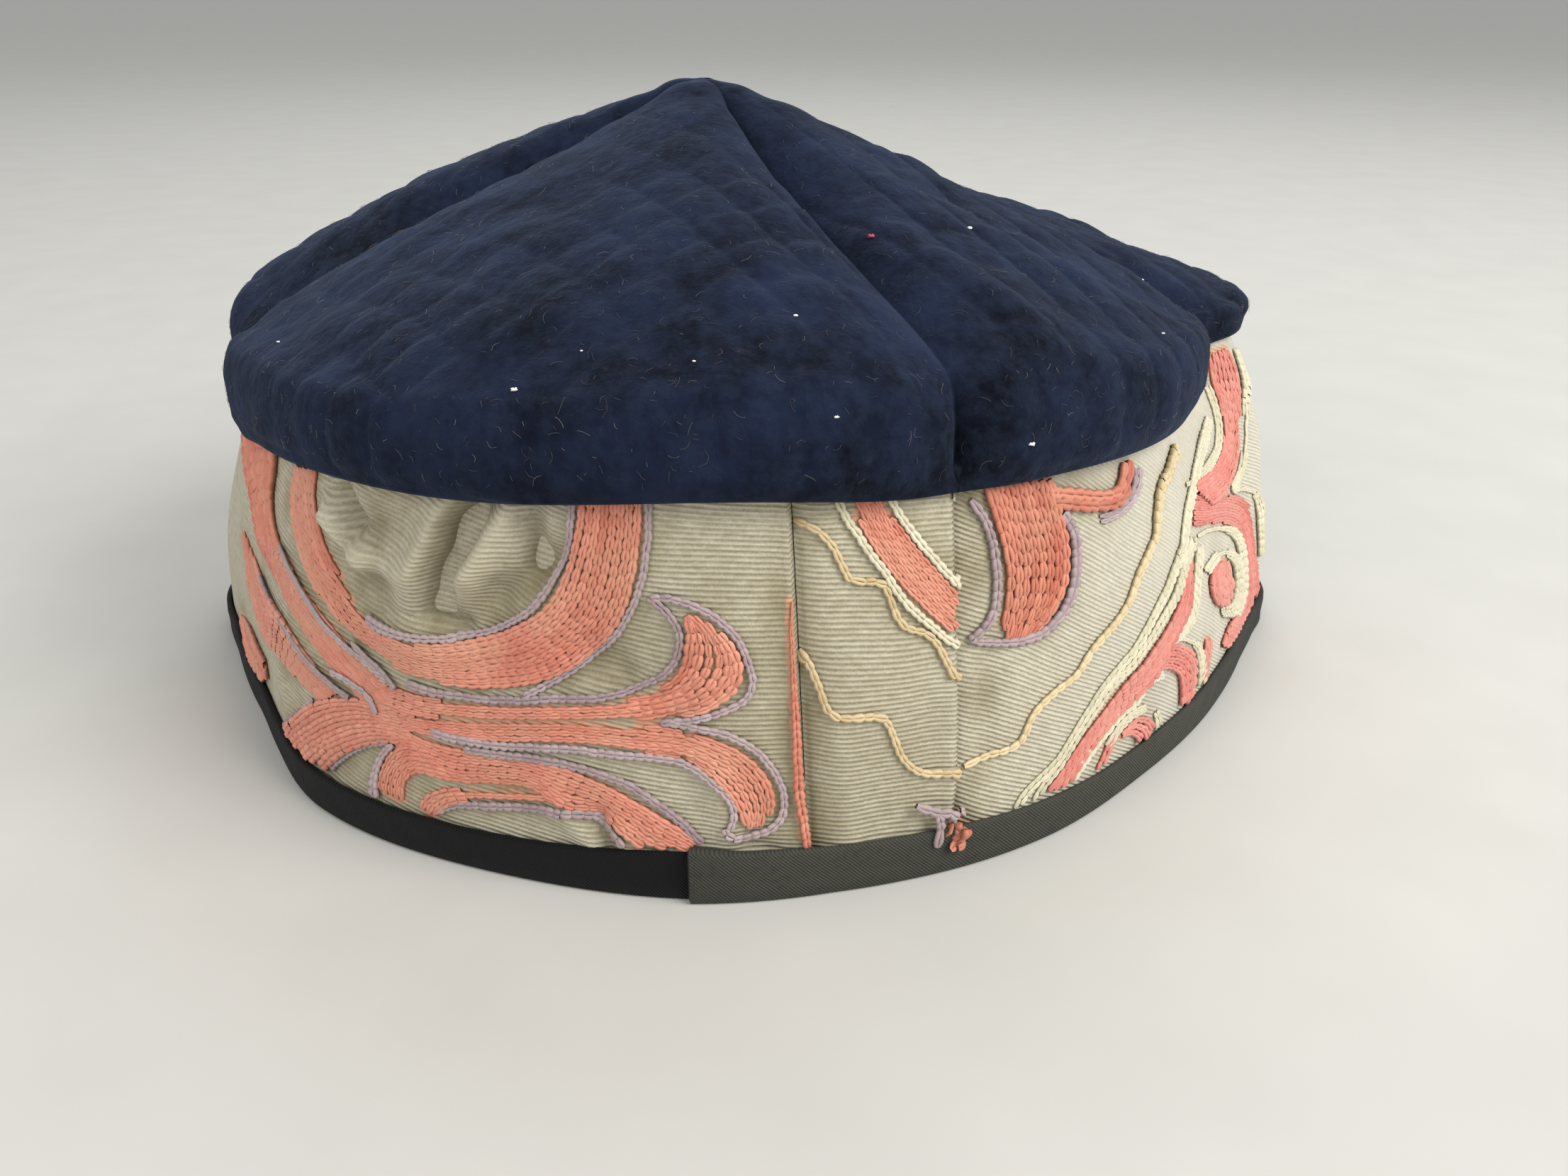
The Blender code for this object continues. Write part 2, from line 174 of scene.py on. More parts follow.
PUCKER_TAPER = 0.8
PUCKER_HOLD = 3

# Finer puckers of the band's cloth, as ridges and hollows that taper off at both ends
#   start pixel, end pixel, half width, lift
PUCKER_PIXELS = [
    (684, 700, 648, 752, 0.0026, -0.0044),
    (648, 752, 622, 812, 0.0022, -0.0046),
    (622, 812, 614, 848, 0.0018, -0.0036),
    (604, 862, 650, 880, 0.0013, -0.0020),
    (712, 712, 668, 800, 0.0026, 0.0028),
    (660, 820, 690, 800, 0.0030, 0.0014),
    (640, 712, 596, 800, 0.0026, 0.0026),
    (746, 706, 752, 790, 0.0018, -0.0026),
    (708, 832, 780, 792, 0.0024, -0.0018),
    (728, 800, 742, 720, 0.0020, 0.0007),
    (470, 725, 520, 785, 0.0018, 0.0026),
    (520, 785, 560, 810, 0.0018, 0.0010),
    (482, 690, 500, 740, 0.0014, -0.0030),
    (505, 745, 560, 740, 0.0024, -0.0008),
    (500, 800, 540, 830, 0.0022, -0.0012),
    (540, 862, 600, 872, 0.0012, -0.0006),
    (845, 925, 880, 950, 0.0026, -0.0012),
    (780, 965, 830, 950, 0.0020, -0.0008),
    (985, 1005, 1010, 900, 0.0020, 0.0005),
    (800, 1150, 840, 1190, 0.0020, 0.0010),
    (850, 1150, 862, 1195, 0.0014, -0.0010),
    (872, 1165, 892, 1205, 0.0016, 0.0008),
    (1012, 1105, 1030, 1175, 0.0020, 0.0008),
    (1060, 1190, 1085, 1200, 0.0016, -0.0008),
    (460, 1085, 530, 1060, 0.0022, -0.0006),
    (400, 960, 410, 1000, 0.0024, 0.0009),
    (1145, 715, 1152, 900, 0.0030, 0.0006),
    (1190, 1030, 1200, 1180, 0.0030, 0.0005),
    (1345, 960, 1352, 1100, 0.0028, 0.0006),
    (1395, 930, 1392, 1060, 0.0026, -0.0008),
    (1560, 760, 1540, 860, 0.0040, 0.0006),
    (1650, 690, 1640, 760, 0.0022, -0.0006),
]

# The cloth beside a seam stands proud or dips, over this width.
#   azimuth at the foot and the top, width to the left, lift, width to the right, lift
SEAM_RELIEF = [
    (*FRONT_LEFT_SEAM, 0.0016, 0.0004, 0.0030, -0.0012),
    (*FRONT_RIGHT_SEAM, 0.0018, 0.0003, 0.0028, -0.0012),
]
SEAM_TURN = 0.0005
SEAM_TURN_REACH = 0.0005

# Where the cloth is darker, partly from stains of age and partly painted shade in folds and on the insert:
# pixel, reach, strength
STAINS_AND_SHADE = [
    (530, 750, 0.006, 0.75), (520, 820, 0.005, 0.9), (560, 700, 0.006, 0.55), (640, 800, 0.008, 0.6),
    (700, 860, 0.007, 0.7), (640, 870, 0.006, 0.7), (750, 830, 0.005, 0.7), (665, 720, 0.005, 0.7),
    (862, 938, 0.005, 0.9), (805, 958, 0.005, 0.8), (880, 900, 0.006, 0.6), (985, 1005, 0.005, 0.5),
    (1060, 1020, 0.004, 0.4), (1010, 830, 0.005, 0.35), (1040, 920, 0.004, 0.3), (725, 1113, 0.003, 0.8),
    (500, 1090, 0.005, 0.6), (400, 985, 0.004, 0.6), (405, 710, 0.003, 0.8), (440, 780, 0.003, 0.4),
    (1135, 760, 0.004, 0.6), (1135, 1000, 0.004, 0.5), (1250, 900, 0.006, 0.3), (1375, 800, 0.004, 0.9),
    (1385, 980, 0.004, 0.8), (1378, 1090, 0.003, 0.6), (1372, 700, 0.005, 0.9), (1700, 640, 0.004, 0.7),
    (1715, 765, 0.004, 0.7), (1640, 965, 0.004, 0.5), (860, 1165, 0.003, 0.7), (1080, 1190, 0.004, 0.4),
    (1190, 900, 0.012, 0.42), (1250, 1080, 0.013, 0.42), (1180, 1150, 0.010, 0.35), (1310, 960, 0.008, 0.3),
]
SOIL_REACH = 0.0035

# The grain of the ribbed cloth falls to the right by this angle against the ring.
#   azimuth, angle
GRAIN = [
    (-180, 0),
    (-60, 2),
    (-38, 6),
    (-28, 11),
    (-14, 9),
    (-4, 4),
    (7, 2),
    (8, 3),
    (22, 4),
    (23, 22),
    (34, 30),
    (60, 33),
    (95, 30),
    (140, 8),
    (180, 0),
]
RIB_PITCH = 0.00074
GRAIN_STOPS = 1441
GRAIN_WANDER = 0.0009
GRAIN_WANDER_SCALE = 45

# Quilting: parallel channels in plan, with puffs between them
QUILT_TURN = radians(37.0)
QUILT_PITCH = 0.00815
QUILT_START = -0.0582
QUILT_DEPTH = 0.00085
QUILT_PUFF_POWER = 0.45
QUILT_WANDER = 0.0010
QUILT_WANDER_SCALE = 38
QUILT_UNEVEN_SCALE = 26
LUMP_PITCH = 0.0086
LUMP_LIFT = 0.00055
LUMP_SKEW = 0.6
LUMP_DRIFT = 0.3
LUMP_LEVEL = 0.6
PUFF_LEVEL = 0.8
#   turn and spread that scatter the lumps of neighbouring channels
LUMP_SHIFT = (12.9898, 43758.5453)
#   least strength of the quilting's unevenness, and its range
UNEVEN = (0.60, 0.6)
WRINKLE_LIFT = 0.00016
WRINKLE_SCALE = 190
SWELL_LIFT = 0.0006
SWELL_SCALE = 55
QUILT_CREASE_FADE = 0.0030
QUILT_PEAK_FADE = 0.016
PEAK_CALM = 0.25
LIP_CALM = (0.6, 0.3, 0.0)
CREASE_ROLL_REACH = 0.0024
CREASE_ROLL_FADE = 0.003
RIM_ROLL_START = 0.90
RIM_ROLL_SPAN = 0.08
RIM_ROLL_SHARE = 1.9
PEAK_ROUND = 0.0009
PEAK_ROUND_RADIUS = 0.0055
PEAK_ROUND_REACH = 0.0034
#   how deep each gore's edge rolls in at its first and its last crease
CREASE_ROLLS = {
    "crown_front_left": (0.0002, 0.0014),
    "crown_front_right": (0.0021, 0.0010),
    "crown_back_right": (0.0010, 0.0012),
    "crown_back_left": (0.0012, 0.0009),
}

# Edge tape
TAPE_LAP_RISE = 0.0009
TAPE_LAP_REACH = 0.005
TAPE_LAP_START = (0.0, 0.25, 0.5)
TAPE_LAP_SLIT = 0.01
TAPE_EDGE = 0.00045
TAPE_SHARP = radians(60)
TAPE_WAVE = 0.00025
TAPE_WAVE_SCALE = 60
TAPE_BELLY = 0.00012
TAPE_BELLY_TURNS = 900
TWILL_PITCH = 0.00055
# painted light on the tape: its middle and reach in degrees from the lapped end, and its gain
WINDOW_LIGHT_CENTRE = 35
WINDOW_LIGHT_REACH = 75
WINDOW_LIGHT_GAIN = 1.6

# Chain stitch
CURVE_STEPS = 8
LINK_LENGTH = 0.00165
ROW_PITCH = 0.00122
LEAST_ROW = 0.00085
EDGE_SHARE = 0.35
TUCK = 0.0002
FOOT_TUCK = 0.0008
WIDEST_ROW = 0.0026
FILL_CROWDING = 1.17
MOST_ROWS = 30
RIBBON_ROWS = 3
LOOSEST_SPACING = 1.6
STRAND_SIDES = 5
LINK_OVERLAP = 1.28
#   share of the link's length, share of its half width, share of the strand's thickness
LINK_SHAPE = [
    (0.00, 0.32, 0.80),
    (0.25, 0.62, 0.95),
    (0.52, 0.95, 1.05),
    (0.78, 1.00, 1.00),
    (1.00, 0.45, 0.80),
]
STRAND_SHARE = 0.265
STRAND_PLACE = 0.235
STRAND_FLATNESS = 0.85
#   seat of a link, height of its arch and how far the arch turns
LINK_ARCH = (0.45, 0.65, 0.8)
NORMAL_STEP = 0.0004
ROW_SAMPLING = 0.62
SHORTEST_ROW = 0.8
ROW_SHIFT = 0.5
MARK_JITTER = 0.12
PLACE_JITTER = 0.00004
LINK_JITTER = 0.08
ROW_TONE = 0.6
SPAN_PERCENTILE = 85

# Lint, specks and their seeds
LINT_SEED = 23
LINT_COUNT = 800
LINT_COLUMNS = 260
LINT_LENGTHS = (0.0005, 0.0024)
LINT_BEND = 0.35
LINT_SPREAD = (0.02, 0.97)
LINT_SHORTENING = (0.4, 1.0)
LINT_MARGIN = 3
LINT_THICKNESS = 0.000024
LINT_POINTS = 4
LINT_SIDES = 3
LINT_LIFT = (0.00012, 0.0004)
LINT_STEEP = 0.2
SPECK_SEED = 31
SPECK_RINGS = 5
SPECK_SIDES = 7
SPECK_SHAPE = (1.4, 1.0, 0.7)
SPECK_LIFT = (0, -0.25, 0.6)
SPECK_CRUMPLE = (0.7, 1.2)
#   pixel across and down, size
SPECKS = [(724, 550, 0.00034), (1369, 321, 0.00030), (1455, 630, 0.00036), (1124, 448, 0.00022),
          (1181, 586, 0.00022), (979, 508, 0.00016), (820, 500, 0.00014), (1610, 395, 0.00024),
          (395, 480, 0.00020), (1640, 470, 0.00022)]
RED_SPECK = (1230, 337, 0.00042)

# How finely the cloth is cut up
DOME_STEPS = 11
CROWN_COLUMN = 0.43
CROWN_SAMPLES = 9
RIM_SAMPLES = 6
BAND_COLUMN = 0.5
BAND_ROWS = 66
TAPE_COLUMN = 0.75

NOISE_SHIFT = (7.3, 3.1, 5.7)
FLOOR_REACH = 14.0

# Camera
FRAME_WIDTH = 2212
FRAME_HEIGHT = 1659
FOCAL_PIXELS = 1800.0
SENSOR_WIDTH = 0.036
CAMERA_PLACE = np.array([0.008, -0.223, 0.115])
CAMERA_PITCH = radians(26.0)
AHEAD = np.array([0, cos(CAMERA_PITCH), -sin(CAMERA_PITCH)])
BELOW = np.array([0, -sin(CAMERA_PITCH), -cos(CAMERA_PITCH)])
#   the least and the greatest distance of the band from the camera, and steps between
BAND_DISTANCES = (0.10, 0.32, 441)
DISTANCE_WEIGHT = 150

# Coral fills of the left panel: pixels of one edge and of the other at each station
U_BAND = [
    (818, 698, 906, 698), (815, 740, 905, 745), (806, 775, 901, 790), (792, 822, 890, 842),
    (768, 858, 868, 888), (735, 880, 830, 925), (695, 896, 780, 955), (640, 907, 710, 968),
    (590, 907, 630, 965), (552, 896, 572, 948), (524, 880, 532, 918), (505, 860, 496, 892),
    (488, 825, 464, 858), (473, 795, 440, 820), (460, 765, 425, 778), (452, 735, 417, 738),
    (447, 700, 414, 700), (449, 668, 420, 660),
]
OUTER_ARM = [
    (350, 600, 396, 610), (352, 645, 393, 655), (359, 700, 387, 702), (365, 748, 392, 748),
    (380, 788, 403, 782), (395, 824, 420, 812), (410, 856, 441, 846), (436, 900, 477, 888),
    (464, 938, 508, 924), (492, 966, 534, 952), (516, 990, 556, 980),
]
FAR_ARM = [
    (343, 752, 347, 751), (348, 790, 361, 786), (353, 825, 373, 818), (365, 858, 386, 848),
    (378, 890, 406, 878), (400, 928, 428, 914), (422, 958, 452, 944), (448, 985, 484, 970),
]
EDGE_ARM = [
    (340, 868, 344, 868), (343, 892, 357, 888), (348, 918, 368, 914), (355, 940, 379, 938),
    (364, 956, 380, 952),
]
FOOT = [
    (408, 1060, 452, 1092), (406, 1036, 470, 1068), (420, 1012, 500, 1052), (445, 992, 535, 1044),
    (490, 985, 570, 1046), (540, 995, 600, 1060),
]
UPPER_BRANCH = [
    (530, 955, 530, 1000), (565, 966, 565, 1006), (600, 980, 600, 1012), (650, 988, 650, 1014),
    (700, 993, 700, 1017), (800, 994, 800, 1016), (860, 990, 870, 1016), (905, 980, 930, 1014),
    (940, 964, 975, 1008), (960, 944, 1012, 996), (968, 918, 1040, 974), (970, 898, 1048, 945),
    (969, 884, 1035, 912), (968, 874, 1010, 886), (968, 870, 988, 872),
]
LOWER_BRANCH = [
    (540, 985, 530, 1030), (600, 1010, 590, 1036), (650, 1016, 645, 1042), (700, 1019, 700, 1046),
    (800, 1019, 800, 1047), (870, 1022, 870, 1057), (930, 1023, 930, 1065), (970, 1031, 962, 1068),
    (1010, 1042, 985, 1080), (1050, 1062, 1012, 1100), (1078, 1088, 1030, 1122),
    (1092, 1118, 1040, 1142), (1090, 1142, 1046, 1156), (1076, 1160, 1056, 1166),
]
BOTTOM_BRANCH = [
    (540, 1010, 560, 1048), (600, 1042, 590, 1078), (650, 1056, 640, 1100), (700, 1062, 700, 1104),
    (750, 1070, 750, 1110), (800, 1082, 800, 1138), (850, 1104, 842, 1146), (900, 1130, 878, 1172),
    (945, 1156, 905, 1196), (985, 1184, 950, 1206),
]
SECOND_FOOT = [
    (538, 1138, 576, 1150), (536, 1100, 572, 1108), (546, 1070, 586, 1088), (566, 1052, 610, 1090),
    (600, 1056, 640, 1100),
]
FOOT_RETURN = [
    (590, 1160, 612, 1152), (598, 1126, 628, 1140), (630, 1112, 650, 1130), (700, 1113, 700, 1131),
    (760, 1114, 760, 1134), (800, 1120, 800, 1138),
]
SEAM_SLIVER = [(1116, 846), (1117, 900), (1119, 960), (1122, 1020), (1125, 1080), (1128, 1130),
               (1134, 1175), (1141, 1218)]
SLIVER_WIDTHS = (0.0004, 0.0007, 0.0010, 0.0014, 0.0015, 0.0015, 0.0014)

# Coral fill of the insert
INSERT_STRIPE = [
    (1195, 698, 1243, 698), (1213, 742, 1265, 738), (1238, 782, 1290, 770),
    (1265, 818, 1318, 802), (1295, 850, 1345, 832), (1330, 882, 1372, 858), (1370, 915, 1400, 888),
]

# Coral and red fills of the right panel
TONGUE = [
    (1382, 680, 1484, 676), (1396, 722, 1494, 722), (1409, 762, 1504, 764), (1417, 800, 1505, 798),
    (1417, 836, 1500, 832), (1412, 864, 1486, 860), (1412, 882, 1470, 880), (1424, 896, 1450, 894),
]
TONGUE_BRANCH = [
    (1470, 688, 1484, 716), (1500, 688, 1512, 718), (1540, 693, 1550, 720), (1566, 692, 1580, 708),
    (1574, 676, 1592, 682), (1578, 658, 1592, 658),
]
S_BAND = [
    (1704, 500, 1730, 490), (1706, 535, 1744, 530), (1718, 570, 1748, 568), (1724, 610, 1748, 610),
    (1720, 642, 1744, 650), (1704, 668, 1732, 684), (1682, 686, 1706, 708),
]
LOBE = [
    (1682, 748, 1680, 692), (1702, 740, 1706, 702), (1726, 738, 1736, 700), (1744, 748, 1760, 712),
    (1752, 772, 1768, 756), (1756, 806, 1772, 806), (1756, 834, 1772, 842), (1746, 862, 1764, 872),
    (1730, 884, 1750, 896), (1722, 906, 1736, 914),
]
LEAF = [(1716, 796, 1732, 790), (1704, 814, 1735, 812), (1706, 834, 1734, 836), (1714, 850, 1730, 852)]
RED_STREAM = [
    (1672, 780, 1680, 780), (1670, 812, 1680, 815), (1662, 845, 1678, 850), (1648, 878, 1664, 884),
    (1628, 910, 1650, 912), (1604, 942, 1630, 950), (1580, 968, 1602, 982), (1558, 998, 1576, 1010),
    (1536, 1026, 1554, 1036), (1516, 1054, 1532, 1066), (1496, 1086, 1514, 1096),
    (1476, 1112, 1496, 1122), (1458, 1146, 1476, 1150),
]
HOOK = [
    (1632, 944, 1632, 914), (1650, 944, 1660, 908), (1660, 952, 1680, 922), (1662, 974, 1684, 950),
    (1660, 1000, 1678, 984), (1648, 1022, 1668, 1012),
]
LOW_LEAF = [
    (1576, 1042, 1586, 1026), (1592, 1036, 1604, 1010), (1602, 1046, 1624, 1014),
    (1606, 1056, 1622, 1044),
]

# Lilac rows of the left panel
LILAC_LEFT = [
    [(808, 698), (806, 740), (800, 772), (792, 798), (778, 825), (760, 850), (734, 872), (698, 888),
     (655, 898), (608, 901), (572, 897), (545, 888), (524, 874)],
    [(915, 698), (915, 745), (911, 790), (903, 828), (890, 862), (868, 896), (842, 920), (812, 943),
     (786, 959), (762, 971), (744, 980)],
    [(575, 962), (610, 974), (650, 981), (700, 986), (750, 987), (800, 986), (850, 984), (884, 978),
     (912, 966), (938, 950), (954, 930), (960, 906), (956, 884), (944, 866), (930, 852), (918, 842)],
    [(918, 842), (945, 843), (975, 852), (1005, 867), (1028, 886), (1045, 908), (1056, 932),
     (1062, 956), (1059, 976), (1046, 991), (1022, 1002), (994, 1009), (962, 1016), (938, 1019)],
    [(938, 1018), (970, 1021), (1004, 1029), (1036, 1040), (1064, 1056), (1084, 1076), (1098, 1098),
     (1106, 1122), (1105, 1145), (1094, 1163), (1074, 1174), (1050, 1179), (1030, 1176), (1024, 1164)],
    [(610, 1030), (650, 1042), (700, 1050), (750, 1053), (800, 1055), (850, 1061), (900, 1066),
     (945, 1070), (968, 1077), (992, 1090), (1014, 1106), (1029, 1124), (1035, 1144), (1030, 1162)],
    [(655, 1056), (690, 1061), (740, 1067), (790, 1075), (830, 1085), (870, 1099),
     (905, 1117), (940, 1141), (965, 1161), (988, 1184)],
    [(606, 1160), (620, 1144), (642, 1135), (700, 1136), (750, 1138), (800, 1143), (838, 1150),
     (862, 1166), (882, 1186), (896, 1204)],
    [(456, 1094), (474, 1074), (498, 1058), (522, 1049), (544, 1045)],
    [(443, 986), (425, 1006), (407, 1030)],
    [(556, 1050), (539, 1066), (531, 1095), (532, 1130)],
]

# Thin greyish rows between the arms on the left
LILAC_THIN = [
    [(372, 812), (386, 846), (404, 880), (424, 912), (446, 940), (470, 962), (496, 982)],
    [(400, 770), (416, 806), (436, 842), (462, 880), (490, 908), (520, 932), (548, 958)],
    [(500, 905), (522, 926), (546, 948), (560, 968)],
    [(470, 945), (500, 962), (524, 980), (534, 1000)],
]

# Lilac rows of the right panel
LILAC_RIGHT = [
    [(1370, 706), (1388, 734), (1399, 770), (1404, 810), (1402, 850), (1394, 876), (1380, 895), (1372, 904)],
    [(1376, 906), (1410, 907), (1440, 903), (1466, 893), (1488, 874), (1503, 850), (1512, 818),
     (1514, 780), (1511, 750), (1498, 726)],
    [(1498, 724), (1528, 733), (1560, 728), (1586, 712), (1600, 688), (1602, 664)],
]

# Ochre rows of the insert and of the right panel
OCHRE_INSERT = [
    [(1112, 737), (1140, 741), (1160, 752), (1174, 770), (1184, 790), (1194, 812), (1206, 820),
     (1225, 820), (1243, 820), (1252, 836), (1260, 860), (1268, 878), (1286, 888), (1304, 892),
     (1320, 906), (1332, 930), (1340, 948), (1352, 955), (1368, 954)],
    [(1126, 918), (1140, 934), (1150, 955), (1160, 980), (1168, 1003), (1180, 1010), (1210, 1010),
     (1240, 1010), (1252, 1020), (1262, 1045), (1272, 1068), (1286, 1083), (1306, 1090), (1330, 1088),
     (1344, 1085), (1350, 1096), (1351, 1114)],
]
OCHRE_RIGHT = [
    [(1653, 632), (1645, 662), (1632, 690), (1628, 728), (1627, 756), (1614, 786), (1600, 820),
     (1591, 846), (1577, 870), (1559, 890), (1544, 906), (1531, 926), (1517, 950), (1499, 965),
     (1478, 983), (1460, 1000), (1448, 1025), (1437, 1046), (1418, 1059), (1396, 1068), (1366, 1080)],
]

# Pale cream rows of the insert and of the right panel
CREAM_INSERT = [
    [(1178, 698), (1192, 728), (1208, 752), (1230, 784), (1248, 808), (1272, 844), (1300, 872),
     (1332, 898), (1374, 928)],
    [(1252, 698), (1273, 734), (1299, 767), (1326, 799), (1350, 827), (1374, 850)],
    [(1340, 700), (1354, 714), (1362, 738)],
]
CREAM_RIGHT = [
    [(1668, 768), (1656, 800), (1644, 832), (1630, 860), (1616, 888), (1598, 918), (1574, 946),
     (1552, 974), (1537, 998), (1522, 1022), (1507, 1048), (1490, 1074), (1470, 1094), (1450, 1114),
     (1436, 1134), (1420, 1162)],
    [(1680, 760), (1668, 796), (1658, 836), (1640, 870), (1618, 906), (1594, 940), (1570, 964),
     (1548, 994), (1526, 1026), (1508, 1056), (1490, 1084), (1468, 1112), (1450, 1146)],
    [(1690, 770), (1686, 820), (1682, 862), (1668, 890), (1650, 904), (1660, 900), (1684, 908),
     (1692, 930), (1692, 960), (1686, 990), (1676, 1010)],
    [(1640, 950), (1616, 962), (1600, 990), (1582, 1004), (1560, 1030), (1540, 1056), (1522, 1082),
     (1506, 1108), (1490, 1128)],
    [(1702, 545), (1712, 572), (1718, 602), (1716, 632), (1704, 656), (1690, 674), (1672, 684)],
    [(1742, 492), (1752, 530), (1756, 576), (1756, 620), (1750, 662), (1738, 690), (1756, 690),
     (1772, 702), (1776, 740), (1778, 780)],
    [(1688, 756), (1704, 748), (1724, 746), (1740, 754), (1748, 774), (1750, 806), (1748, 838), (1738, 862)],
    [(1700, 806), (1714, 786), (1730, 780), (1742, 796), (1743, 830), (1736, 858), (1722, 864)],
    [(1560, 1052), (1580, 1022), (1604, 1002), (1626, 1000), (1632, 1020), (1626, 1044)],
    [(1704, 590), (1690, 640), (1680, 690), (1672, 730), (1668, 768)],
]
RED_ROWS = [
    [(1703, 902), (1699, 928), (1695, 956)],
    [(1573, 1034), (1562, 1054), (1552, 1078), (1542, 1096)],
]

# A stray end of thread and a knot low on the insert
STRAY_LILAC = [(1288, 1130), (1302, 1134), (1316, 1140), (1328, 1136), (1342, 1143), (1352, 1158),
               (1354, 1172)]
STRAY_LEG = [(1318, 1142), (1321, 1156), (1320, 1168), (1317, 1180)]
STRAY_KNOT = [(1338, 1176), (1344, 1163), (1355, 1160), (1360, 1170), (1351, 1178)]
STRAY_TAIL = [(1355, 1176), (1344, 1184), (1333, 1187)]

LEFT_PANEL = ((-180.0, -180.0), FRONT_LEFT_SEAM)
INSERT_PANEL = (FRONT_LEFT_SEAM, FRONT_RIGHT_SEAM)
RIGHT_PANEL = (FRONT_RIGHT_SEAM, BACK_SEAM)

# Colours from 0 to 255 of each thread: dark, light, faded, and a deep painted shade down the sides and
# underneath
THREAD_LOOKS = {
    "coral_thread": ((196, 112, 90), (231, 155, 131), (206, 166, 136), (150, 100, 72)),
    "coral_thread_right": ((182, 98, 76), (216, 140, 114), (194, 148, 120), (132, 78, 56)),
    "red_thread": ((194, 102, 91), (224, 143, 128), (216, 164, 145), (170, 92, 80)),
    "lilac_thread": ((146, 124, 128), (192, 172, 174), (178, 164, 152), (118, 104, 98)),
    "ochre_thread": ((186, 160, 118), (226, 206, 164), (214, 196, 156), (160, 138, 98)),
    "cream_thread": ((190, 182, 152), (228, 221, 194), (216, 208, 180), (166, 158, 130)),
}

#   name, place, target, size, power, colour
LIGHTS = [
    ("window", (0.80, -0.45, 0.75), (0, 0, 0.05), 0.7, 13.5, (1.0, 0.995, 0.98)),
    ("left_fill", (-0.75, -0.80, 0.70), (0, 0, 0.05), 0.8, 4.8, (1.0, 0.98, 0.95)),
    ("back_top", (0.05, 0.70, 1.00), (0, 0, 0.06), 0.7, 3.4, (0.95, 0.98, 1.0)),
]
SKY_STRENGTH = 0.72


def smooth_table(rows, position, period=None):
    """Each column after the first, read at these positions by a cubic through the rows."""
    table = np.array(rows, float)
    position = np.asarray(position, float)
    if period:
        position = table[0, 0] + (position - table[0, 0]) % period
        shift = np.zeros(table.shape[1])
        shift[0] = period
        table = np.vstack([table[-1:] - shift, table, table[:2] + shift])
    else:
        table = np.vstack([table[:1], table, table[-1:]])
    left = np.searchsorted(table[:, 0], position, side="right") - 1
    left = np.clip(left, 1, len(table) - 3)
    before, first, last, after = (table[left + step] for step in (-1, 0, 1, 2))
    span = (last - first)[..., :1]
    part = (position[..., None] - first[..., :1]) / span
    rise_in = (last - before) / (last - before)[..., :1] * span
    rise_out = (after - first) / (after - first)[..., :1] * span
    values = (
        first * (1 - 3 * part**2 + 2 * part**3)
        + last * (3 * part**2 - 2 * part**3)
        + rise_in * (part - 2 * part**2 + part**3)
        + rise_out * (part**3 - part**2)
    )
    return np.moveaxis(values[..., 1:], -1, 0)


def turned(degrees):
    """The same azimuth between -180 and 180."""
    return (np.asarray(degrees, float) + 180) % 360 - 180


def outward(azimuth):
    """Unit vector in plan."""
    return np.sin(np.radians(azimuth)), -np.cos(np.radians(azimuth))


def arc_from(azimuth, start):
    """Distance round the band from one azimuth to others, in metres."""
    return np.radians(turned(azimuth - start)) * HALF_DEPTH


def azimuth_of(points):
    """Azimuth of each point."""
    return np.degrees(np.arctan2(points[..., 0], -points[..., 1]))


def polar(azimuth, radius, height):
    """Points at these azimuths, radii and heights."""
    across, along = outward(azimuth)
    return np.stack([radius * across, radius * along, height + 0.0 * radius], -1)


def unit(vectors):
    """The same directions with a length of 1."""
    return vectors / np.maximum(np.linalg.norm(vectors, axis=-1, keepdims=True), 1e-12)


def bell(distance, reach):
    """1 at no distance, falling smoothly to nothing past this reach."""
    return np.exp(-((distance / reach) ** 2))


def ridge(across, upwards, run, climb, width, taper=1.0):
    """1 along a straight stretch from the origin, fading beside it and past its ends."""
    length = np.hypot(run, climb)
    along = (across * run + upwards * climb) / length
    beyond = np.maximum(np.maximum(-along, along - length), 0.0)
    aside = (across * climb - upwards * run) / length
    return bell(np.hypot(beyond * taper, aside), width)


def pucker_lift(azimuth, height):
    """Lift of the finer puckers at this place of the band."""
    lift = 0.0
    for start, start_height, end, end_height, width, rise in PUCKERS:
        run = radians(end - start) * HALF_DEPTH
        climb = end_height - start_height
        across, upwards = arc_from(azimuth, start), height - start_height
        lift = lift + rise * ridge(across, upwards, run, climb, width, PUCKER_TAPER)
    return lift


def seam_azimuth(seam, height):
    """Azimuth of an upright seam at this height."""
    return seam[0] + (seam[1] - seam[0]) * np.clip(height / BAND_HEIGHT, 0, 1)


def seam_lift(azimuth, height):
    """Lift beside the upright seams, and the turn of the cloth's edge into each."""
    lift = 0.0
    for low, high, left_width, left_lift, right_width, right_lift in SEAM_RELIEF:
        aside = arc_from(azimuth, seam_azimuth((low, high), height))
        left = left_lift * bell(aside, left_width)
        right = right_lift * bell(aside, right_width)
        lift = lift + np.where(aside < 0, left, right) - SEAM_TURN * bell(aside, SEAM_TURN_REACH)
    return lift - SEAM_TURN * 2 * bell(arc_from(azimuth, BACK_SEAM[0]), SEAM_TURN_REACH)


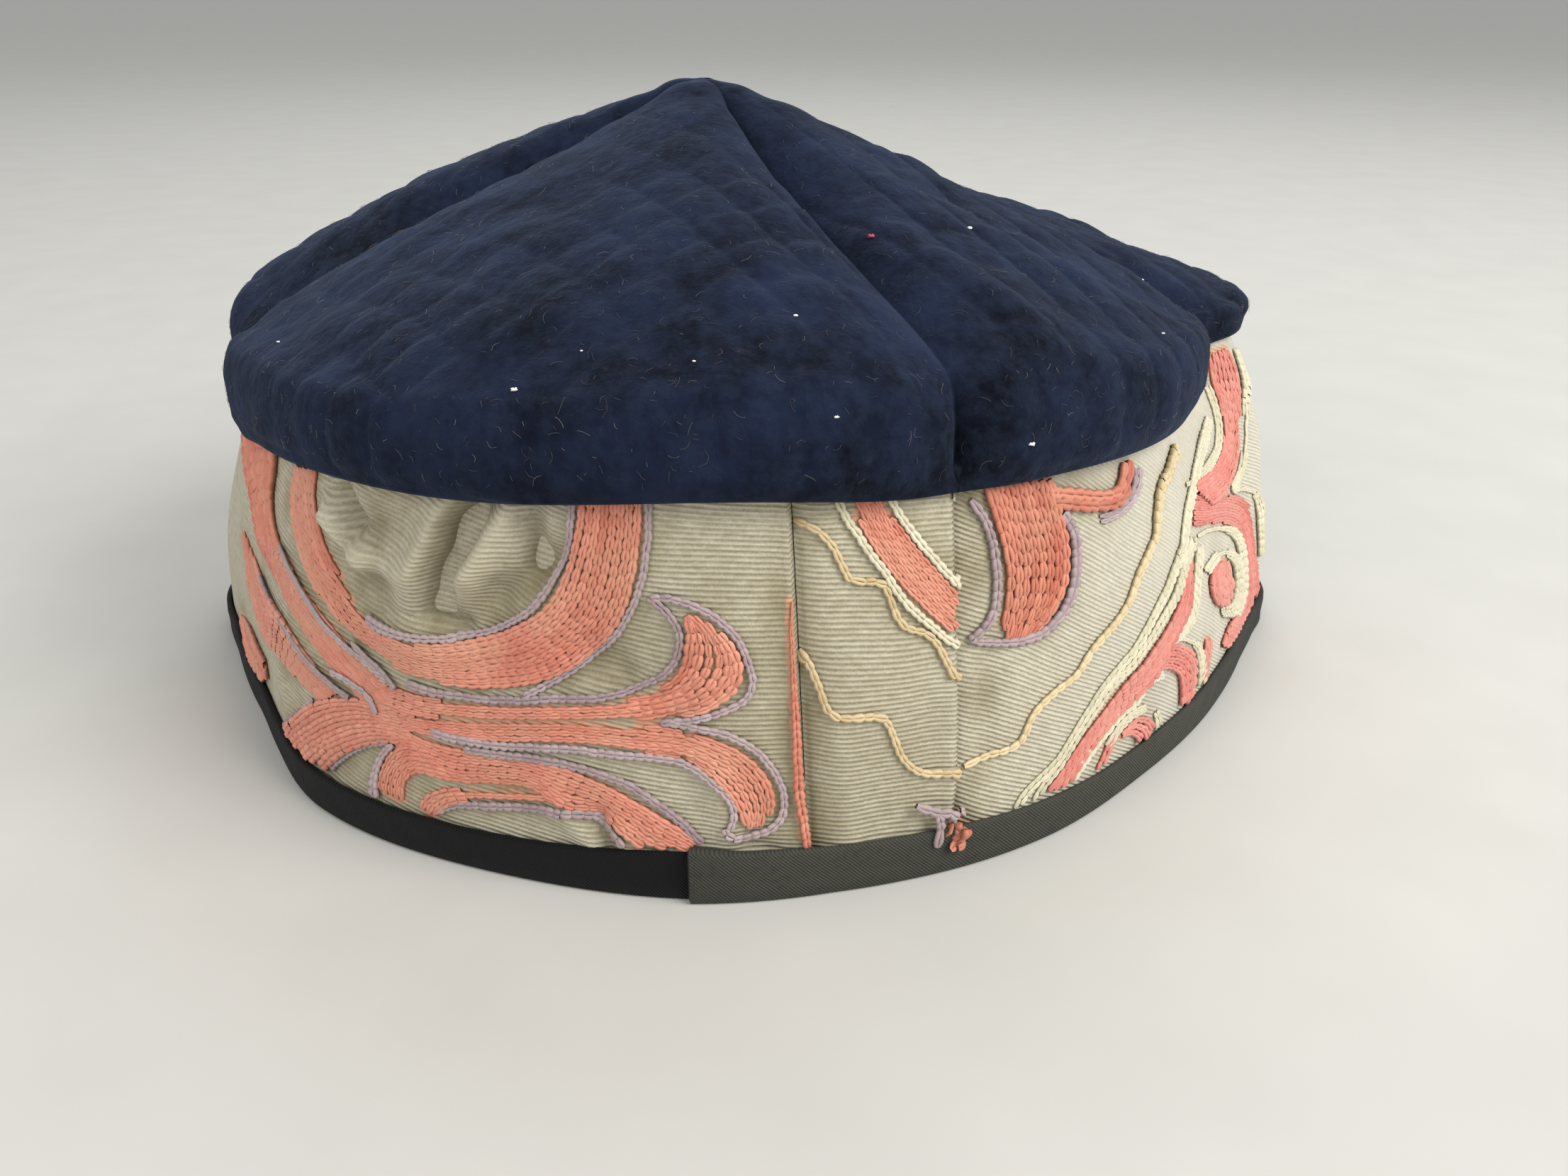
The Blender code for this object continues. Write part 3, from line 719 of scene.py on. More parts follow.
class Around:
    """The radii and levels of the cap at each azimuth of an array."""

    def __init__(self, azimuth):
        self.azimuth = np.asarray(azimuth, float)
        base, top, overhang, foot, shoulder, tape = smooth_table(OUTLINE, self.azimuth, 360)
        across, along = outward(self.azimuth)
        oval = 1 / np.hypot(across / HALF_WIDTH, along / HALF_DEPTH)
        self.base = oval * base
        self.cloth_base = self.base - BINDING_WALL - CLEARANCE
        self.cloth_top = self.base * top
        self.foot = BAND_HEIGHT * foot
        self.seat = self.foot + LIP_DEPTH
        self.shoulder = self.foot + RIM_HEIGHT * shoulder
        self.rim = self.cloth_top + RIM_OVERHANG * overhang
        self.tape = BINDING_HEIGHT * tape

    def cloth(self, height, fine=True):
        """Radius of the band's outer face at this height."""
        share = np.maximum(height, 0.0) / self.seat
        radius = self.cloth_base + (self.cloth_top - self.cloth_base) * share**BULGE_POWER
        dents = 0.0
        for azimuth, level, round_width, up_width, depth in BAND_DENTS:
            sideways = arc_from(self.azimuth, azimuth) / round_width
            upwards = (height - level * BAND_HEIGHT) / up_width
            dents = dents + depth * bell(np.hypot(sideways, upwards), BAND_HEIGHT)
        edge_hold = np.maximum(0.0, np.sin(pi * np.minimum(share, 1.0)))
        radius = radius + BAND_WALL * dents * edge_hold
        if fine:
            radius = radius + pucker_lift(self.azimuth, height) * np.minimum(1.0, edge_hold * PUCKER_HOLD)
            radius = radius + seam_lift(self.azimuth, height)
        return radius


def band_point(azimuth, height):
    """Points on the band's outer face."""
    return polar(azimuth, Around(azimuth).cloth(height), height)


def crown_plan(around, share, sweep=0.0):
    """Place in plan on the way from the peak to the rim."""
    inward = np.maximum(0.0, 1 - share / TRUE_SHARE)
    across, along = outward(around.azimuth + sweep * inward)
    return -PEAK_OFFSET * inward + around.rim * share * across, around.rim * share * along


def fold_lift(x, y):
    """Height that the long folds add to the crown at this place in plan."""
    lift = 0.0
    for start, start_share, end, end_share, width, height in CROWN_FOLDS:
        start_x, start_y = crown_plan(Around(start), start_share)
        end_x, end_y = crown_plan(Around(end), end_share)
        run, climb = end_x - start_x, end_y - start_y
        lift = lift + height * CROWN_WALL * ridge(x - start_x, y - start_y, run, climb, width * CROWN_WALL)
    return lift


def gore_weight(part, steepness, depths, fullness):
    """0 along a deep crease, rising to the gore's fullness in its middle."""
    late = part >= 0.5
    power = np.where(late, steepness[1], steepness[0])
    depth = np.where(late, depths[1], depths[0])
    return fullness * (1 - depth * np.abs(2 * part - 1) ** power)


def crease_pull(azimuth, first, last):
    """How far the rim is drawn in beside a crease."""
    nearest = np.minimum(np.abs(turned(azimuth - first)), np.abs(turned(azimuth - last)))
    return CREASE_PULL * bell(nearest, CREASE_REACH)


def through(points, counts):
    """Points on a smooth curve through a row of points, with this many steps to each stretch."""
    padded = np.concatenate([points[:1] * 2 - points[1:2], points, points[-1:] * 2 - points[-2:-1]])
    made = []
    for place, count in enumerate(counts):
        before, first, last, after = padded[place:place + 4]
        for step in range(count):
            part = step / count
            made.append(
                0.5 * (
                    2 * first
                    + (last - before) * part
                    + (2 * before - 5 * first + 4 * last - after) * part**2
                    + (3 * first - before - 3 * last + after) * part**3
                )
            )
    made.append(points[-1])
    return np.array(made)


def mesh_piece(name, points, faces, smooth=True):
    """A mesh object from arrays of points and of three- or four-sided faces."""
    mesh = bpy.data.meshes.new(name)
    corners = faces.shape[1]
    mesh.vertices.add(len(points))
    mesh.vertices.foreach_set("co", np.asarray(points, np.float32).ravel())
    mesh.loops.add(faces.size)
    mesh.loops.foreach_set("vertex_index", faces.astype(np.int32).ravel())
    mesh.polygons.add(len(faces))
    mesh.polygons.foreach_set("loop_start", np.arange(len(faces), dtype=np.int32) * corners)
    mesh.update(calc_edges=True)
    mesh.validate()
    if smooth:
        mesh.shade_smooth()
    piece = bpy.data.objects.new(name, mesh)
    bpy.context.collection.objects.link(piece)
    return piece


def note(piece, name, values):
    """Keeps one number for each point of a piece, for its material to read."""
    attribute = piece.data.attributes.new(name, "FLOAT", "POINT")
    attribute.data.foreach_set("value", np.asarray(values, np.float32).ravel())


def loop_faces(rows, length, ring=False):
    """Four-sided faces between each closed loop of points and the next."""
    first = np.arange(rows if ring else rows - 1)[:, None]
    place = np.arange(length)[None, :]
    following = (first + 1) % rows
    onward = (place + 1) % length
    corners = [first * length + place, following * length + place,
               following * length + onward, first * length + onward]
    return np.stack([np.broadcast_to(corner, (first.size, length)) for corner in corners], -1).reshape(-1, 4)


def end_faces(row, length):
    """Four-sided faces that close the end of a wall whose loop runs out and back."""
    place = np.arange(length // 2 - 1)
    far = length - 1 - place
    base = row * length
    return np.stack([base + place, base + place + 1, base + far - 1, base + far], -1)


def wall_piece(name, loops, turned_over=False):
    """A closed wall, from loops of points that run out along one face and back along the other."""
    rows, length = loops.shape[:2]
    faces = [loop_faces(rows, length), end_faces(0, length)[:, ::-1], end_faces(rows - 1, length)]
    faces = np.concatenate(faces)
    return mesh_piece(name, loops.reshape(-1, 3), faces[:, ::-1] if turned_over else faces)


def tube_piece(name, tubes):
    """One mesh of open tubes, from an array of tubes, rings and points round each ring."""
    index = np.arange(tubes[..., 0].size).reshape(tubes.shape[:3])
    following = np.roll(index, -1, axis=2)
    faces = np.stack([index[:, :-1], following[:, :-1], following[:, 1:], index[:, 1:]], -1)
    return mesh_piece(name, tubes.reshape(-1, 3), faces.reshape(-1, 4))


def face_normals(grid):
    """Unit vectors at right angles to a grid of points, by differences."""
    return unit(np.cross(np.gradient(grid, axis=0), np.gradient(grid, axis=1)))


def noise_at(points, scale, octaves, seed):
    """Smooth noise between about -1 and 1 at each point."""
    shift = Vector(NOISE_SHIFT) * seed
    flat = np.asarray(points, float).reshape(-1, 3) * scale
    values = [smooth_noise.fractal(Vector(point) + shift, 1.0, 2.0, octaves) for point in flat]
    return np.array(values).reshape(np.asarray(points).shape[:-1])


def quilt_lift(grid):
    """How far the quilted velvet stands off its smooth form."""
    x, y = grid[..., 0], grid[..., 1]
    wander = noise_at(grid, QUILT_WANDER_SCALE, 2, 1)
    across = x * cos(QUILT_TURN) + y * sin(QUILT_TURN) + wander * QUILT_WANDER
    along = x * sin(QUILT_TURN) - y * cos(QUILT_TURN)
    strip = (across - QUILT_START) / QUILT_PITCH
    puff = np.abs(np.sin(pi * strip)) ** QUILT_PUFF_POWER
    turn, spread = LUMP_SHIFT
    shift = np.modf(np.abs(np.sin(np.floor(strip) * turn) * spread))[0]
    part = (along / LUMP_PITCH + shift + LUMP_DRIFT * wander) % 1.0
    lumps = np.sin(pi * part**LUMP_SKEW) - LUMP_LEVEL
    uneven = UNEVEN[0] + UNEVEN[1] * noise_at(grid, QUILT_UNEVEN_SCALE, 2, 2)
    lift = (QUILT_DEPTH * (puff - PUFF_LEVEL) + LUMP_LIFT * lumps * puff) * uneven
    lift = lift + SWELL_LIFT * noise_at(grid, SWELL_SCALE, 2, 4)
    return lift + WRINKLE_LIFT * noise_at(grid, WRINKLE_SCALE, 3, 3)


def gore_profile(around, sweep, weight, pull):
    """Outer profile of a gore at each azimuth, from the peak over the rim to the lip."""
    climb = CAP_HEIGHT - around.shoulder
    profile = []
    for step in range(DOME_STEPS + 1):
        reach = DOME[-1][0] * step / DOME_STEPS
        share = np.maximum(reach, TIP_RADIUS / around.rim)
        over_crease, over_gore = smooth_table(DOME, reach)
        fall = over_crease + (over_gore - over_crease) * weight
        lift = fold_lift(*crown_plan(around, share, sweep)) * np.minimum(1.0, share / TIP_CALM)
        height = around.shoulder + climb * fall + lift - pull * SHOULDER_PULL * share
        profile.append(np.stack([share * around.rim - pull * share**PULL_ONSET, height], -1))
    for share, level in RIM:
        height = around.seat + level * (around.shoulder - around.seat)
        profile.append(np.stack([share * around.rim - pull, height - pull * SHOULDER_PULL * level], -1))
    lip_inside = around.cloth(around.foot, fine=False) + CLEARANCE * 2
    rim = around.rim - pull
    profile.append(np.stack([rim, around.seat + CLEARANCE], -1))
    profile.append(np.stack([lip_inside + (rim - lip_inside) * LIP_SHARE, around.foot], -1))
    steps = [CROWN_SAMPLES] * DOME_STEPS + [RIM_SAMPLES] * (len(profile) - DOME_STEPS - 1)
    return through(np.array(profile), steps)


def inner_wall(outer, around):
    """Inner profile with as many points as the outer one: under the dome, then down to the band."""
    dome_count = DOME_STEPS * CROWN_SAMPLES + 1
    slope = np.gradient(outer, axis=0)
    size = np.maximum(np.linalg.norm(slope, axis=-1), 1e-9)
    radius = np.maximum(outer[..., 0] + CROWN_WALL * slope[..., 1] / size, 0.0)
    height = outer[..., 1] - CROWN_WALL * slope[..., 0] / size
    floor = around.seat + CLEARANCE
    cloth_seat = around.cloth(around.seat, fine=False)
    seat = cloth_seat - BAND_WALL
    inner = np.stack([np.minimum(radius, seat), np.maximum(height, floor + CLEARANCE)], -1)
    last = inner[dome_count - 1]
    rest = len(inner) - dome_count
    share = np.arange(1, rest + 1)[:, None, None] / rest
    inner[dome_count:] = last + (np.stack([seat, floor], -1) - last) * share
    inner[-1] = np.stack([around.cloth(around.foot, fine=False) + CLEARANCE * 2, around.foot], -1)
    inner[-2] = np.stack([cloth_seat + CLEARANCE * 2, floor], -1)
    return inner


def crown_points(around, profile, sweep):
    """The points of a profile of radii and heights, set round the cap."""
    radius = np.maximum(profile[..., 0], TIP_RADIUS)
    x, y = crown_plan(around, radius / around.rim, sweep)
    return np.stack([x, y, profile[..., 1]], -1)


def crown_gore(name, first, last, steepness, depths, fullness, sweeps):
    """One quilted velvet gore as a closed padded wall, and the grid of its outer face."""
    count = int(round((last - first) / CROWN_COLUMN)) + 1
    azimuth = np.linspace(first, last, count)
    part = (azimuth - first) / (last - first)
    around = Around(turned(azimuth))
    sweep = sweeps[0] + (sweeps[1] - sweeps[0]) * part
    weight = gore_weight(part, steepness, depths, fullness)
    outer = gore_profile(around, sweep, weight, crease_pull(around.azimuth, first, last))
    radius = np.maximum(outer[..., 0], TIP_RADIUS)
    grid = crown_points(around, outer, sweep)
    gaps = (np.radians(azimuth - first) * radius, np.radians(last - azimuth) * radius)
    normal = face_normals(grid)
    normal *= np.where(normal[..., 2:].mean() < 0, -1.0, 1.0)
    settle = np.clip(radius / QUILT_PEAK_FADE, 0, 1)
    calm = np.clip(np.minimum(*gaps) / QUILT_CREASE_FADE, 0, 1) * np.maximum(settle, PEAK_CALM)
    lift = quilt_lift(grid) * calm + PEAK_ROUND * bell(radius - PEAK_ROUND_RADIUS, PEAK_ROUND_REACH)
    lift[-3:] *= np.array(LIP_CALM)[:, None]
    grid = grid + normal * lift[..., None]
    settle = settle * np.clip((outer[..., 1] - around.foot) / CREASE_ROLL_FADE, 0, 1)
    sideways = np.clip((radius / around.rim - RIM_ROLL_START) / RIM_ROLL_SPAN, 0, 1)
    for gap, roll in zip(gaps, CREASE_ROLLS[name]):
        drop = roll * np.exp(-np.abs(gap) / CREASE_ROLL_REACH) * settle
        grid[..., 2] -= drop * (1 - sideways)
        grid[..., :2] -= grid[..., :2] / radius[..., None] * (drop * sideways * RIM_ROLL_SHARE)[..., None]
    for crease, retreat in ((first, (1 - part) * CREASE_GAP / 2), (last, -part * CREASE_GAP / 2)):
        across, along = outward(crease)
        grid[..., 0] -= along * retreat
        grid[..., 1] += across * retreat
    inside = crown_points(around, inner_wall(outer, around), sweep)
    loops = np.concatenate([grid, inside[::-1]]).transpose(1, 0, 2)
    piece = wall_piece(name + "_velvet", loops, turned_over=True)
    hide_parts(name)
    return piece, grid


def grain_shift(azimuth):
    """How far the ribs have dropped at this azimuth, in metres."""
    stops = np.linspace(-180, 180, GRAIN_STOPS)
    rows = np.array(GRAIN, float)
    angle = np.radians(np.interp(stops, rows[:, 0], rows[:, 1]))
    step = radians(stops[1] - stops[0]) * HALF_DEPTH
    dropped = np.concatenate([[0.0], np.cumsum(np.tan(angle[1:]) * step)])
    return np.interp(turned(azimuth), stops, dropped)


def band_panel(name, first, last, stitches):
    """One ribbed cloth panel from seam to seam, as a closed wall."""
    count = int(round((max(last) - min(first)) / BAND_COLUMN)) + 1
    gap = np.degrees(SEAM_GAP / 2 / HALF_DEPTH)
    part = np.linspace(0, 1, count)[:, None]
    level = np.linspace(0, 1, BAND_ROWS)[None, :]
    start = first[0] + (first[1] - first[0]) * level + gap
    end = last[0] + (last[1] - last[0]) * level - gap
    azimuth = turned(start + (end - start) * part)
    around = Around(azimuth)
    low = BINDING_WALL + CLEARANCE
    height = low + (around.seat - low) * level
    outer = band_point(azimuth, height)
    inner = polar(azimuth, around.cloth(height, fine=False) - BAND_WALL, height)
    piece = wall_piece(name + "_cloth", np.concatenate([outer, inner[:, ::-1]], axis=1))
    wobble = noise_at(outer, GRAIN_WANDER_SCALE, 2, 5) * GRAIN_WANDER
    notes = (
        ("grain", (height + grain_shift(azimuth) + wobble) / RIB_PITCH, 1),
        ("run", np.radians(azimuth) * HALF_DEPTH, 1),
        ("soil", stain_near(outer, stitches), 0),
        ("stain_and_shade", stain_and_shade_patches(outer), 0),
        # the puckers' lift, which the material turns into painted shade in their hollows and painted
        # highlight on their ridges
        ("fold", pucker_lift(azimuth, height), 0),
    )
    for label, values, inside in notes:
        note(piece, label, np.concatenate([values, values[:, ::-1] * inside], axis=1))
    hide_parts(name)
    return piece


def stain_and_shade_patches(points):
    """How dark the cloth is at each point from the listed patches, partly age stains and partly painted
    shade.
    """
    table = np.array(STAINS_AND_SHADE)
    here = azimuth_of(points)
    stain_and_shade = 0.0 * here
    for azimuth, level, reach, strength in zip(*band_places(table[:, 0:2]), *table[:, 2:].T):
        gap = np.hypot(arc_from(here, azimuth), points[..., 2] - level)
        stain_and_shade = np.maximum(stain_and_shade, strength * bell(gap, reach))
    return stain_and_shade


def stain_near(points, stitches):
    """1 close to the coral rows, falling to 0 a few millimetres away."""
    tree = KDTree(len(stitches))
    for index, place in enumerate(stitches):
        tree.insert(place, index)
    tree.balance()
    nearest = np.array([tree.find(point)[2] for point in points.reshape(-1, 3)])
    return bell(nearest, SOIL_REACH).reshape(points.shape[:-1])


def edge_tape():
    """Tape folded round the lower edge, whose end laps over its start."""
    count = int(round(360 / TAPE_COLUMN))
    offset = np.concatenate([TAPE_LAP_START, np.linspace(TAPE_COLUMN, 360 - TAPE_LAP_SLIT, count)])
    around = Around(turned(LAP_AZIMUTH + offset))
    arc = np.radians(offset) * HALF_DEPTH
    proud = BINDING_WALL * np.clip(1 - arc / LAP_LENGTH, 0, 1)
    rise = TAPE_LAP_RISE * bell(arc, TAPE_LAP_REACH)
    proud[0] = rise[0] = 0.0
    wave = noise_at(np.stack([arc, arc * 0, arc * 0], -1), TAPE_WAVE_SCALE, 2, 8) * TAPE_WAVE
    top = around.tape + rise + wave
    top_face = around.cloth(around.tape, fine=False) + CLEARANCE
    low_face = around.cloth(BINDING_WALL, fine=False) + CLEARANCE
    wall = BINDING_WALL + proud
    inner_low = low_face - BAND_WALL - CLEARANCE * 2 - BINDING_WALL
    inner_top = top_face - BAND_WALL - CLEARANCE * 2 - BINDING_WALL
    belly = TAPE_BELLY * np.sin(arc * TAPE_BELLY_TURNS)
    #   radius and height of each corner, up the outer face, over the top edge and down inside
    section = [
        (low_face + wall - TAPE_EDGE * 2, 0),
        (low_face + wall - TAPE_EDGE * 0.6, TAPE_EDGE * 0.25),
        (low_face + wall, TAPE_EDGE),
        ((2 * low_face + top_face) / 3 + wall + belly, top / 3),
        ((low_face + 2 * top_face) / 3 + wall - belly, top * 2 / 3),
        (top_face + wall, top - TAPE_EDGE),
        (top_face + wall - TAPE_EDGE * 0.4, top - TAPE_EDGE * 0.2),
        (top_face + wall * 0.4, top),
        (top_face, top - TAPE_EDGE * 0.6),
        (low_face, BINDING_WALL),
        (inner_low + BINDING_WALL, BINDING_WALL),
        (inner_top + BINDING_WALL, around.tape),
        (inner_top, around.tape),
        (inner_low, TAPE_EDGE),
        (inner_low + TAPE_EDGE, 0),
    ]
    loops = np.stack([polar(around.azimuth, radius, height) for radius, height in section], 1)
    rows, length = loops.shape[:2]
    piece = mesh_piece("edge_binding_tape", loops.reshape(-1, 3), loop_faces(rows, length, ring=True))
    piece.data.set_sharp_from_angle(angle=TAPE_SHARP)
    note(piece, "twill", (arc[:, None] + loops[..., 2]) / TWILL_PITCH)
    # painted light: the tape is painted paler where it faces the window, right of the lapped end
    window_light = WINDOW_LIGHT_GAIN * np.clip(1 - np.abs(offset - WINDOW_LIGHT_CENTRE) / WINDOW_LIGHT_REACH, 0, 1)
    window_light[0] = 0.0
    note(piece, "window_light", np.repeat(np.minimum(1, window_light), length))
    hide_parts("edge_binding")
    return piece


def pixel_rays(pixels):
    """Directions from the camera through these pixels."""
    pixels = np.asarray(pixels, float)
    right = (pixels[..., 0:1] - FRAME_WIDTH / 2) / FOCAL_PIXELS
    down = (pixels[..., 1:2] - FRAME_HEIGHT / 2) / FOCAL_PIXELS
    return AHEAD + right * np.array([1.0, 0, 0]) + down * BELOW


def band_places(pixels):
    """Azimuth and height at which the rays through these pixels meet the band."""
    reach = np.linspace(*BAND_DISTANCES)
    points = CAMERA_PLACE + pixel_rays(pixels)[:, None, :] * reach[None, :, None]
    cloth = Around(azimuth_of(points)).cloth(points[..., 2], fine=False)
    gap = np.hypot(points[..., 0], points[..., 1]) - cloth
    inside = gap < 0
    entry = np.where(inside.any(1), inside.argmax(1), gap.argmin(1))
    entry = np.clip(entry, 1, len(reach) - 1)
    row = np.arange(len(entry))
    before, after = gap[row, entry - 1], gap[row, entry]
    crosses = (before > 0) & (after < 0)
    part = np.where(crosses, before / np.where(crosses, before - after, 1.0), 1.0)
    place = points[row, entry - 1] + (points[row, entry] - points[row, entry - 1]) * part[:, None]
    return azimuth_of(place), place[:, 2]


def pucker_places():
    """The puckers' ends as azimuths and heights on the band."""
    table = np.array(PUCKER_PIXELS, float)
    start, start_height = band_places(table[:, 0:2])
    end, end_height = band_places(table[:, 2:4])
    return np.stack([start, start_height, end, end_height, table[:, 4], table[:, 5]], -1)


def resampled(points, spacing):
    """The same line with points at an even spacing."""
    lengths = np.linalg.norm(np.diff(points, axis=0), axis=1)
    along = np.concatenate([[0.0], np.cumsum(lengths)])
    count = max(int(round(along[-1] / spacing)), 1)
    stops = np.linspace(0, along[-1], count + 1)
    return np.stack([np.interp(stops, along, points[:, axis]) for axis in range(points.shape[1])], -1)


def smoothed(pixels):
    """A smooth curve of pixels through a few chosen ones."""
    points = np.array(pixels, float)
    return through(points, [CURVE_STEPS] * (len(points) - 1))


def unrolled(pixels):
    """A line of pixels as arc length round the band and height, both in metres."""
    azimuth, height = band_places(pixels)
    return np.stack([np.radians(azimuth) * HALF_DEPTH, height], -1)


def surface(places):
    """Points on the band at these arc lengths and heights."""
    return band_point(np.degrees(places[..., 0] / HALF_DEPTH), places[..., 1])


class Threads:
    """Chain-stitch links of one colour, gathered until they are made into one piece."""

    def __init__(self, name, slot, look, seed):
        self.name = name
        self.slot = slot
        self.look = look
        self.random = np.random.default_rng(seed)
        self.links = []

    def row(self, path, width, azimuths=None, length=LINK_LENGTH, lift=0.0, loose=False):
        """One row of links along a path of arc lengths and heights."""
        stops = resampled(path, length * ROW_SAMPLING)
        gaps = np.linalg.norm(np.diff(surface(stops), axis=0), axis=1)
        along = np.concatenate([[0.0], np.cumsum(gaps)])
        if along[-1] < length * SHORTEST_ROW:
            return
        count = int(round(along[-1] / length))
        marks = np.linspace(0, along[-1], count + 1)
        shift = self.random.uniform(-ROW_SHIFT, ROW_SHIFT)
        marks[1:-1] += (shift + self.random.uniform(-MARK_JITTER, MARK_JITTER, count - 1)) * length
        places = np.stack([np.interp(marks, along, stops[:, axis]) for axis in (0, 1)], -1)
        given = np.atleast_1d(width)
        spread = np.interp(np.linspace(0, 1, len(stops)), np.linspace(0, 1, len(given)), given)
        widths = np.interp(marks, along, spread)
        for axis in (0, 1):
            places[:, axis] += self.random.normal(0, PLACE_JITTER, len(places))
        tone = self.random.uniform(0, 1)
        start, end = places[:-1], places[1:]
        middle = (start + end) / 2
        around = Around(np.degrees(middle[:, 0] / HALF_DEPTH))
        lowest = np.minimum(start[:, 1], end[:, 1])
        kept = loose | (lowest > around.tape + TUCK) & (lowest < around.foot + FOOT_TUCK)
        if azimuths is not None:
            kept &= around.azimuth >= seam_azimuth(azimuths[0], middle[:, 1])
            kept &= around.azimuth <= seam_azimuth(azimuths[1], middle[:, 1])
        for first, last, size in zip(start[kept], end[kept], widths[:-1][kept]):
            self.links.append((*first, *last, size, lift, tone))

    def make(self):
        """One mesh of all the links, each two strands that part and meet again."""
        rows = np.array(self.links)
        count = len(rows)
        start, end, width, lift, tone = np.split(rows, [2, 4, 5, 6], axis=1)
        head = surface(start)
        ahead = surface(end) - head
        length = np.linalg.norm(ahead, axis=1, keepdims=True)
        ahead /= length
        between = (start + end) / 2
        middle = surface(between)
        up = surface(between + np.array([0, NORMAL_STEP])) - middle
        aside = surface(between + np.array([NORMAL_STEP, 0])) - middle
        normal = unit(np.cross(aside, up))
        side = unit(np.cross(normal, ahead))
        thick = width * STRAND_SHARE
        seat, arch, turn = LINK_ARCH
        angles = np.arange(STRAND_SIDES) / STRAND_SIDES * 2 * pi
        points = []
        for hand in (-1, 1):
            part = hand * width * STRAND_PLACE * self.random.normal(1.0, LINK_JITTER, (count, 1))
            for place, bow, girth in LINK_SHAPE:
                rise = lift + thick * (seat + arch * sin(pi * place * turn))
                centre = head + ahead * length * place * LINK_OVERLAP + side * part * bow + normal * rise
                for angle in angles:
                    way = side * cos(angle) + normal * sin(angle) * STRAND_FLATNESS
                    points.append(centre + way * thick * girth)
        sections = len(LINK_SHAPE)
        piece = tube_piece(self.name, np.stack(points, 1).reshape(-1, sections, STRAND_SIDES, 3))
        shade = ROW_TONE * tone + (1 - ROW_TONE) * self.random.uniform(0, 1, (count, 1))
        shade = shade + self.random.normal(0, LINK_JITTER, (count, 2))
        note(piece, "shade", np.repeat(shade.reshape(-1), sections * STRAND_SIDES))
        # 0 on top of each strand to 1 underneath, for painted shade on its sides and underside
        note(piece, "side", np.tile((1 - np.sin(angles)) / 2, count * 2 * sections))
        return piece


def fill(threads, stations, pitch=ROW_PITCH, azimuths=None, length=LINK_LENGTH, crowding=FILL_CROWDING,
         most_rows=MOST_ROWS):
    """Rows of chain stitch side by side between the two edges of a shape."""
    table = np.array(stations, float)
    left = unrolled(smoothed(table[:, 0:2]))
    right = unrolled(smoothed(table[:, 2:4]))
    span = np.linalg.norm(surface(right) - surface(left), axis=1)
    rows = min(max(int(round(np.percentile(span, SPAN_PERCENTILE) / pitch)), 1), most_rows)
    spacing = np.clip(span / rows, LEAST_ROW, pitch * LOOSEST_SPACING)
    for row in range(rows):
        share = 0.5 + (row - (rows - 1) / 2) * spacing / np.maximum(span, 1e-6)
        keep = np.minimum(share, 1 - share) * span > EDGE_SHARE * LEAST_ROW
        path = left + (right - left) * share[:, None]
        for start, stop in stretches(keep):
            width = np.clip(spacing[start:stop] * crowding, LEAST_ROW, WIDEST_ROW)
            threads.row(path[start:stop], width, azimuths, length)


def stretches(keep):
    """First and last place of each run of kept points."""
    edges = np.flatnonzero(np.diff(np.concatenate([[False], keep, [False]]).astype(int)))
    return [(start, stop) for start, stop in zip(edges[::2], edges[1::2]) if stop - start > 2]


def line(threads, pixels, width, length, lift=0.0, loose=False):
    """One row of chain stitch through chosen pixels."""
    threads.row(unrolled(smoothed(pixels)), width, None, length, lift, loose)


def ribbons(threads, paths, pixel_width, pitch, azimuths=None, length=LINK_LENGTH):
    """One or more rows that look this wide from the camera, along each path of chosen pixels."""
    for pixels in paths:
        points = np.array(pixels, float)
        run = unit(np.gradient(points, axis=0))
        aside = np.stack([-run[:, 1], run[:, 0]], -1) * pixel_width / 2
        stations = np.concatenate([points - aside, points + aside], axis=1)
        fill(threads, stations, pitch, azimuths, length, 1.0, RIBBON_ROWS)


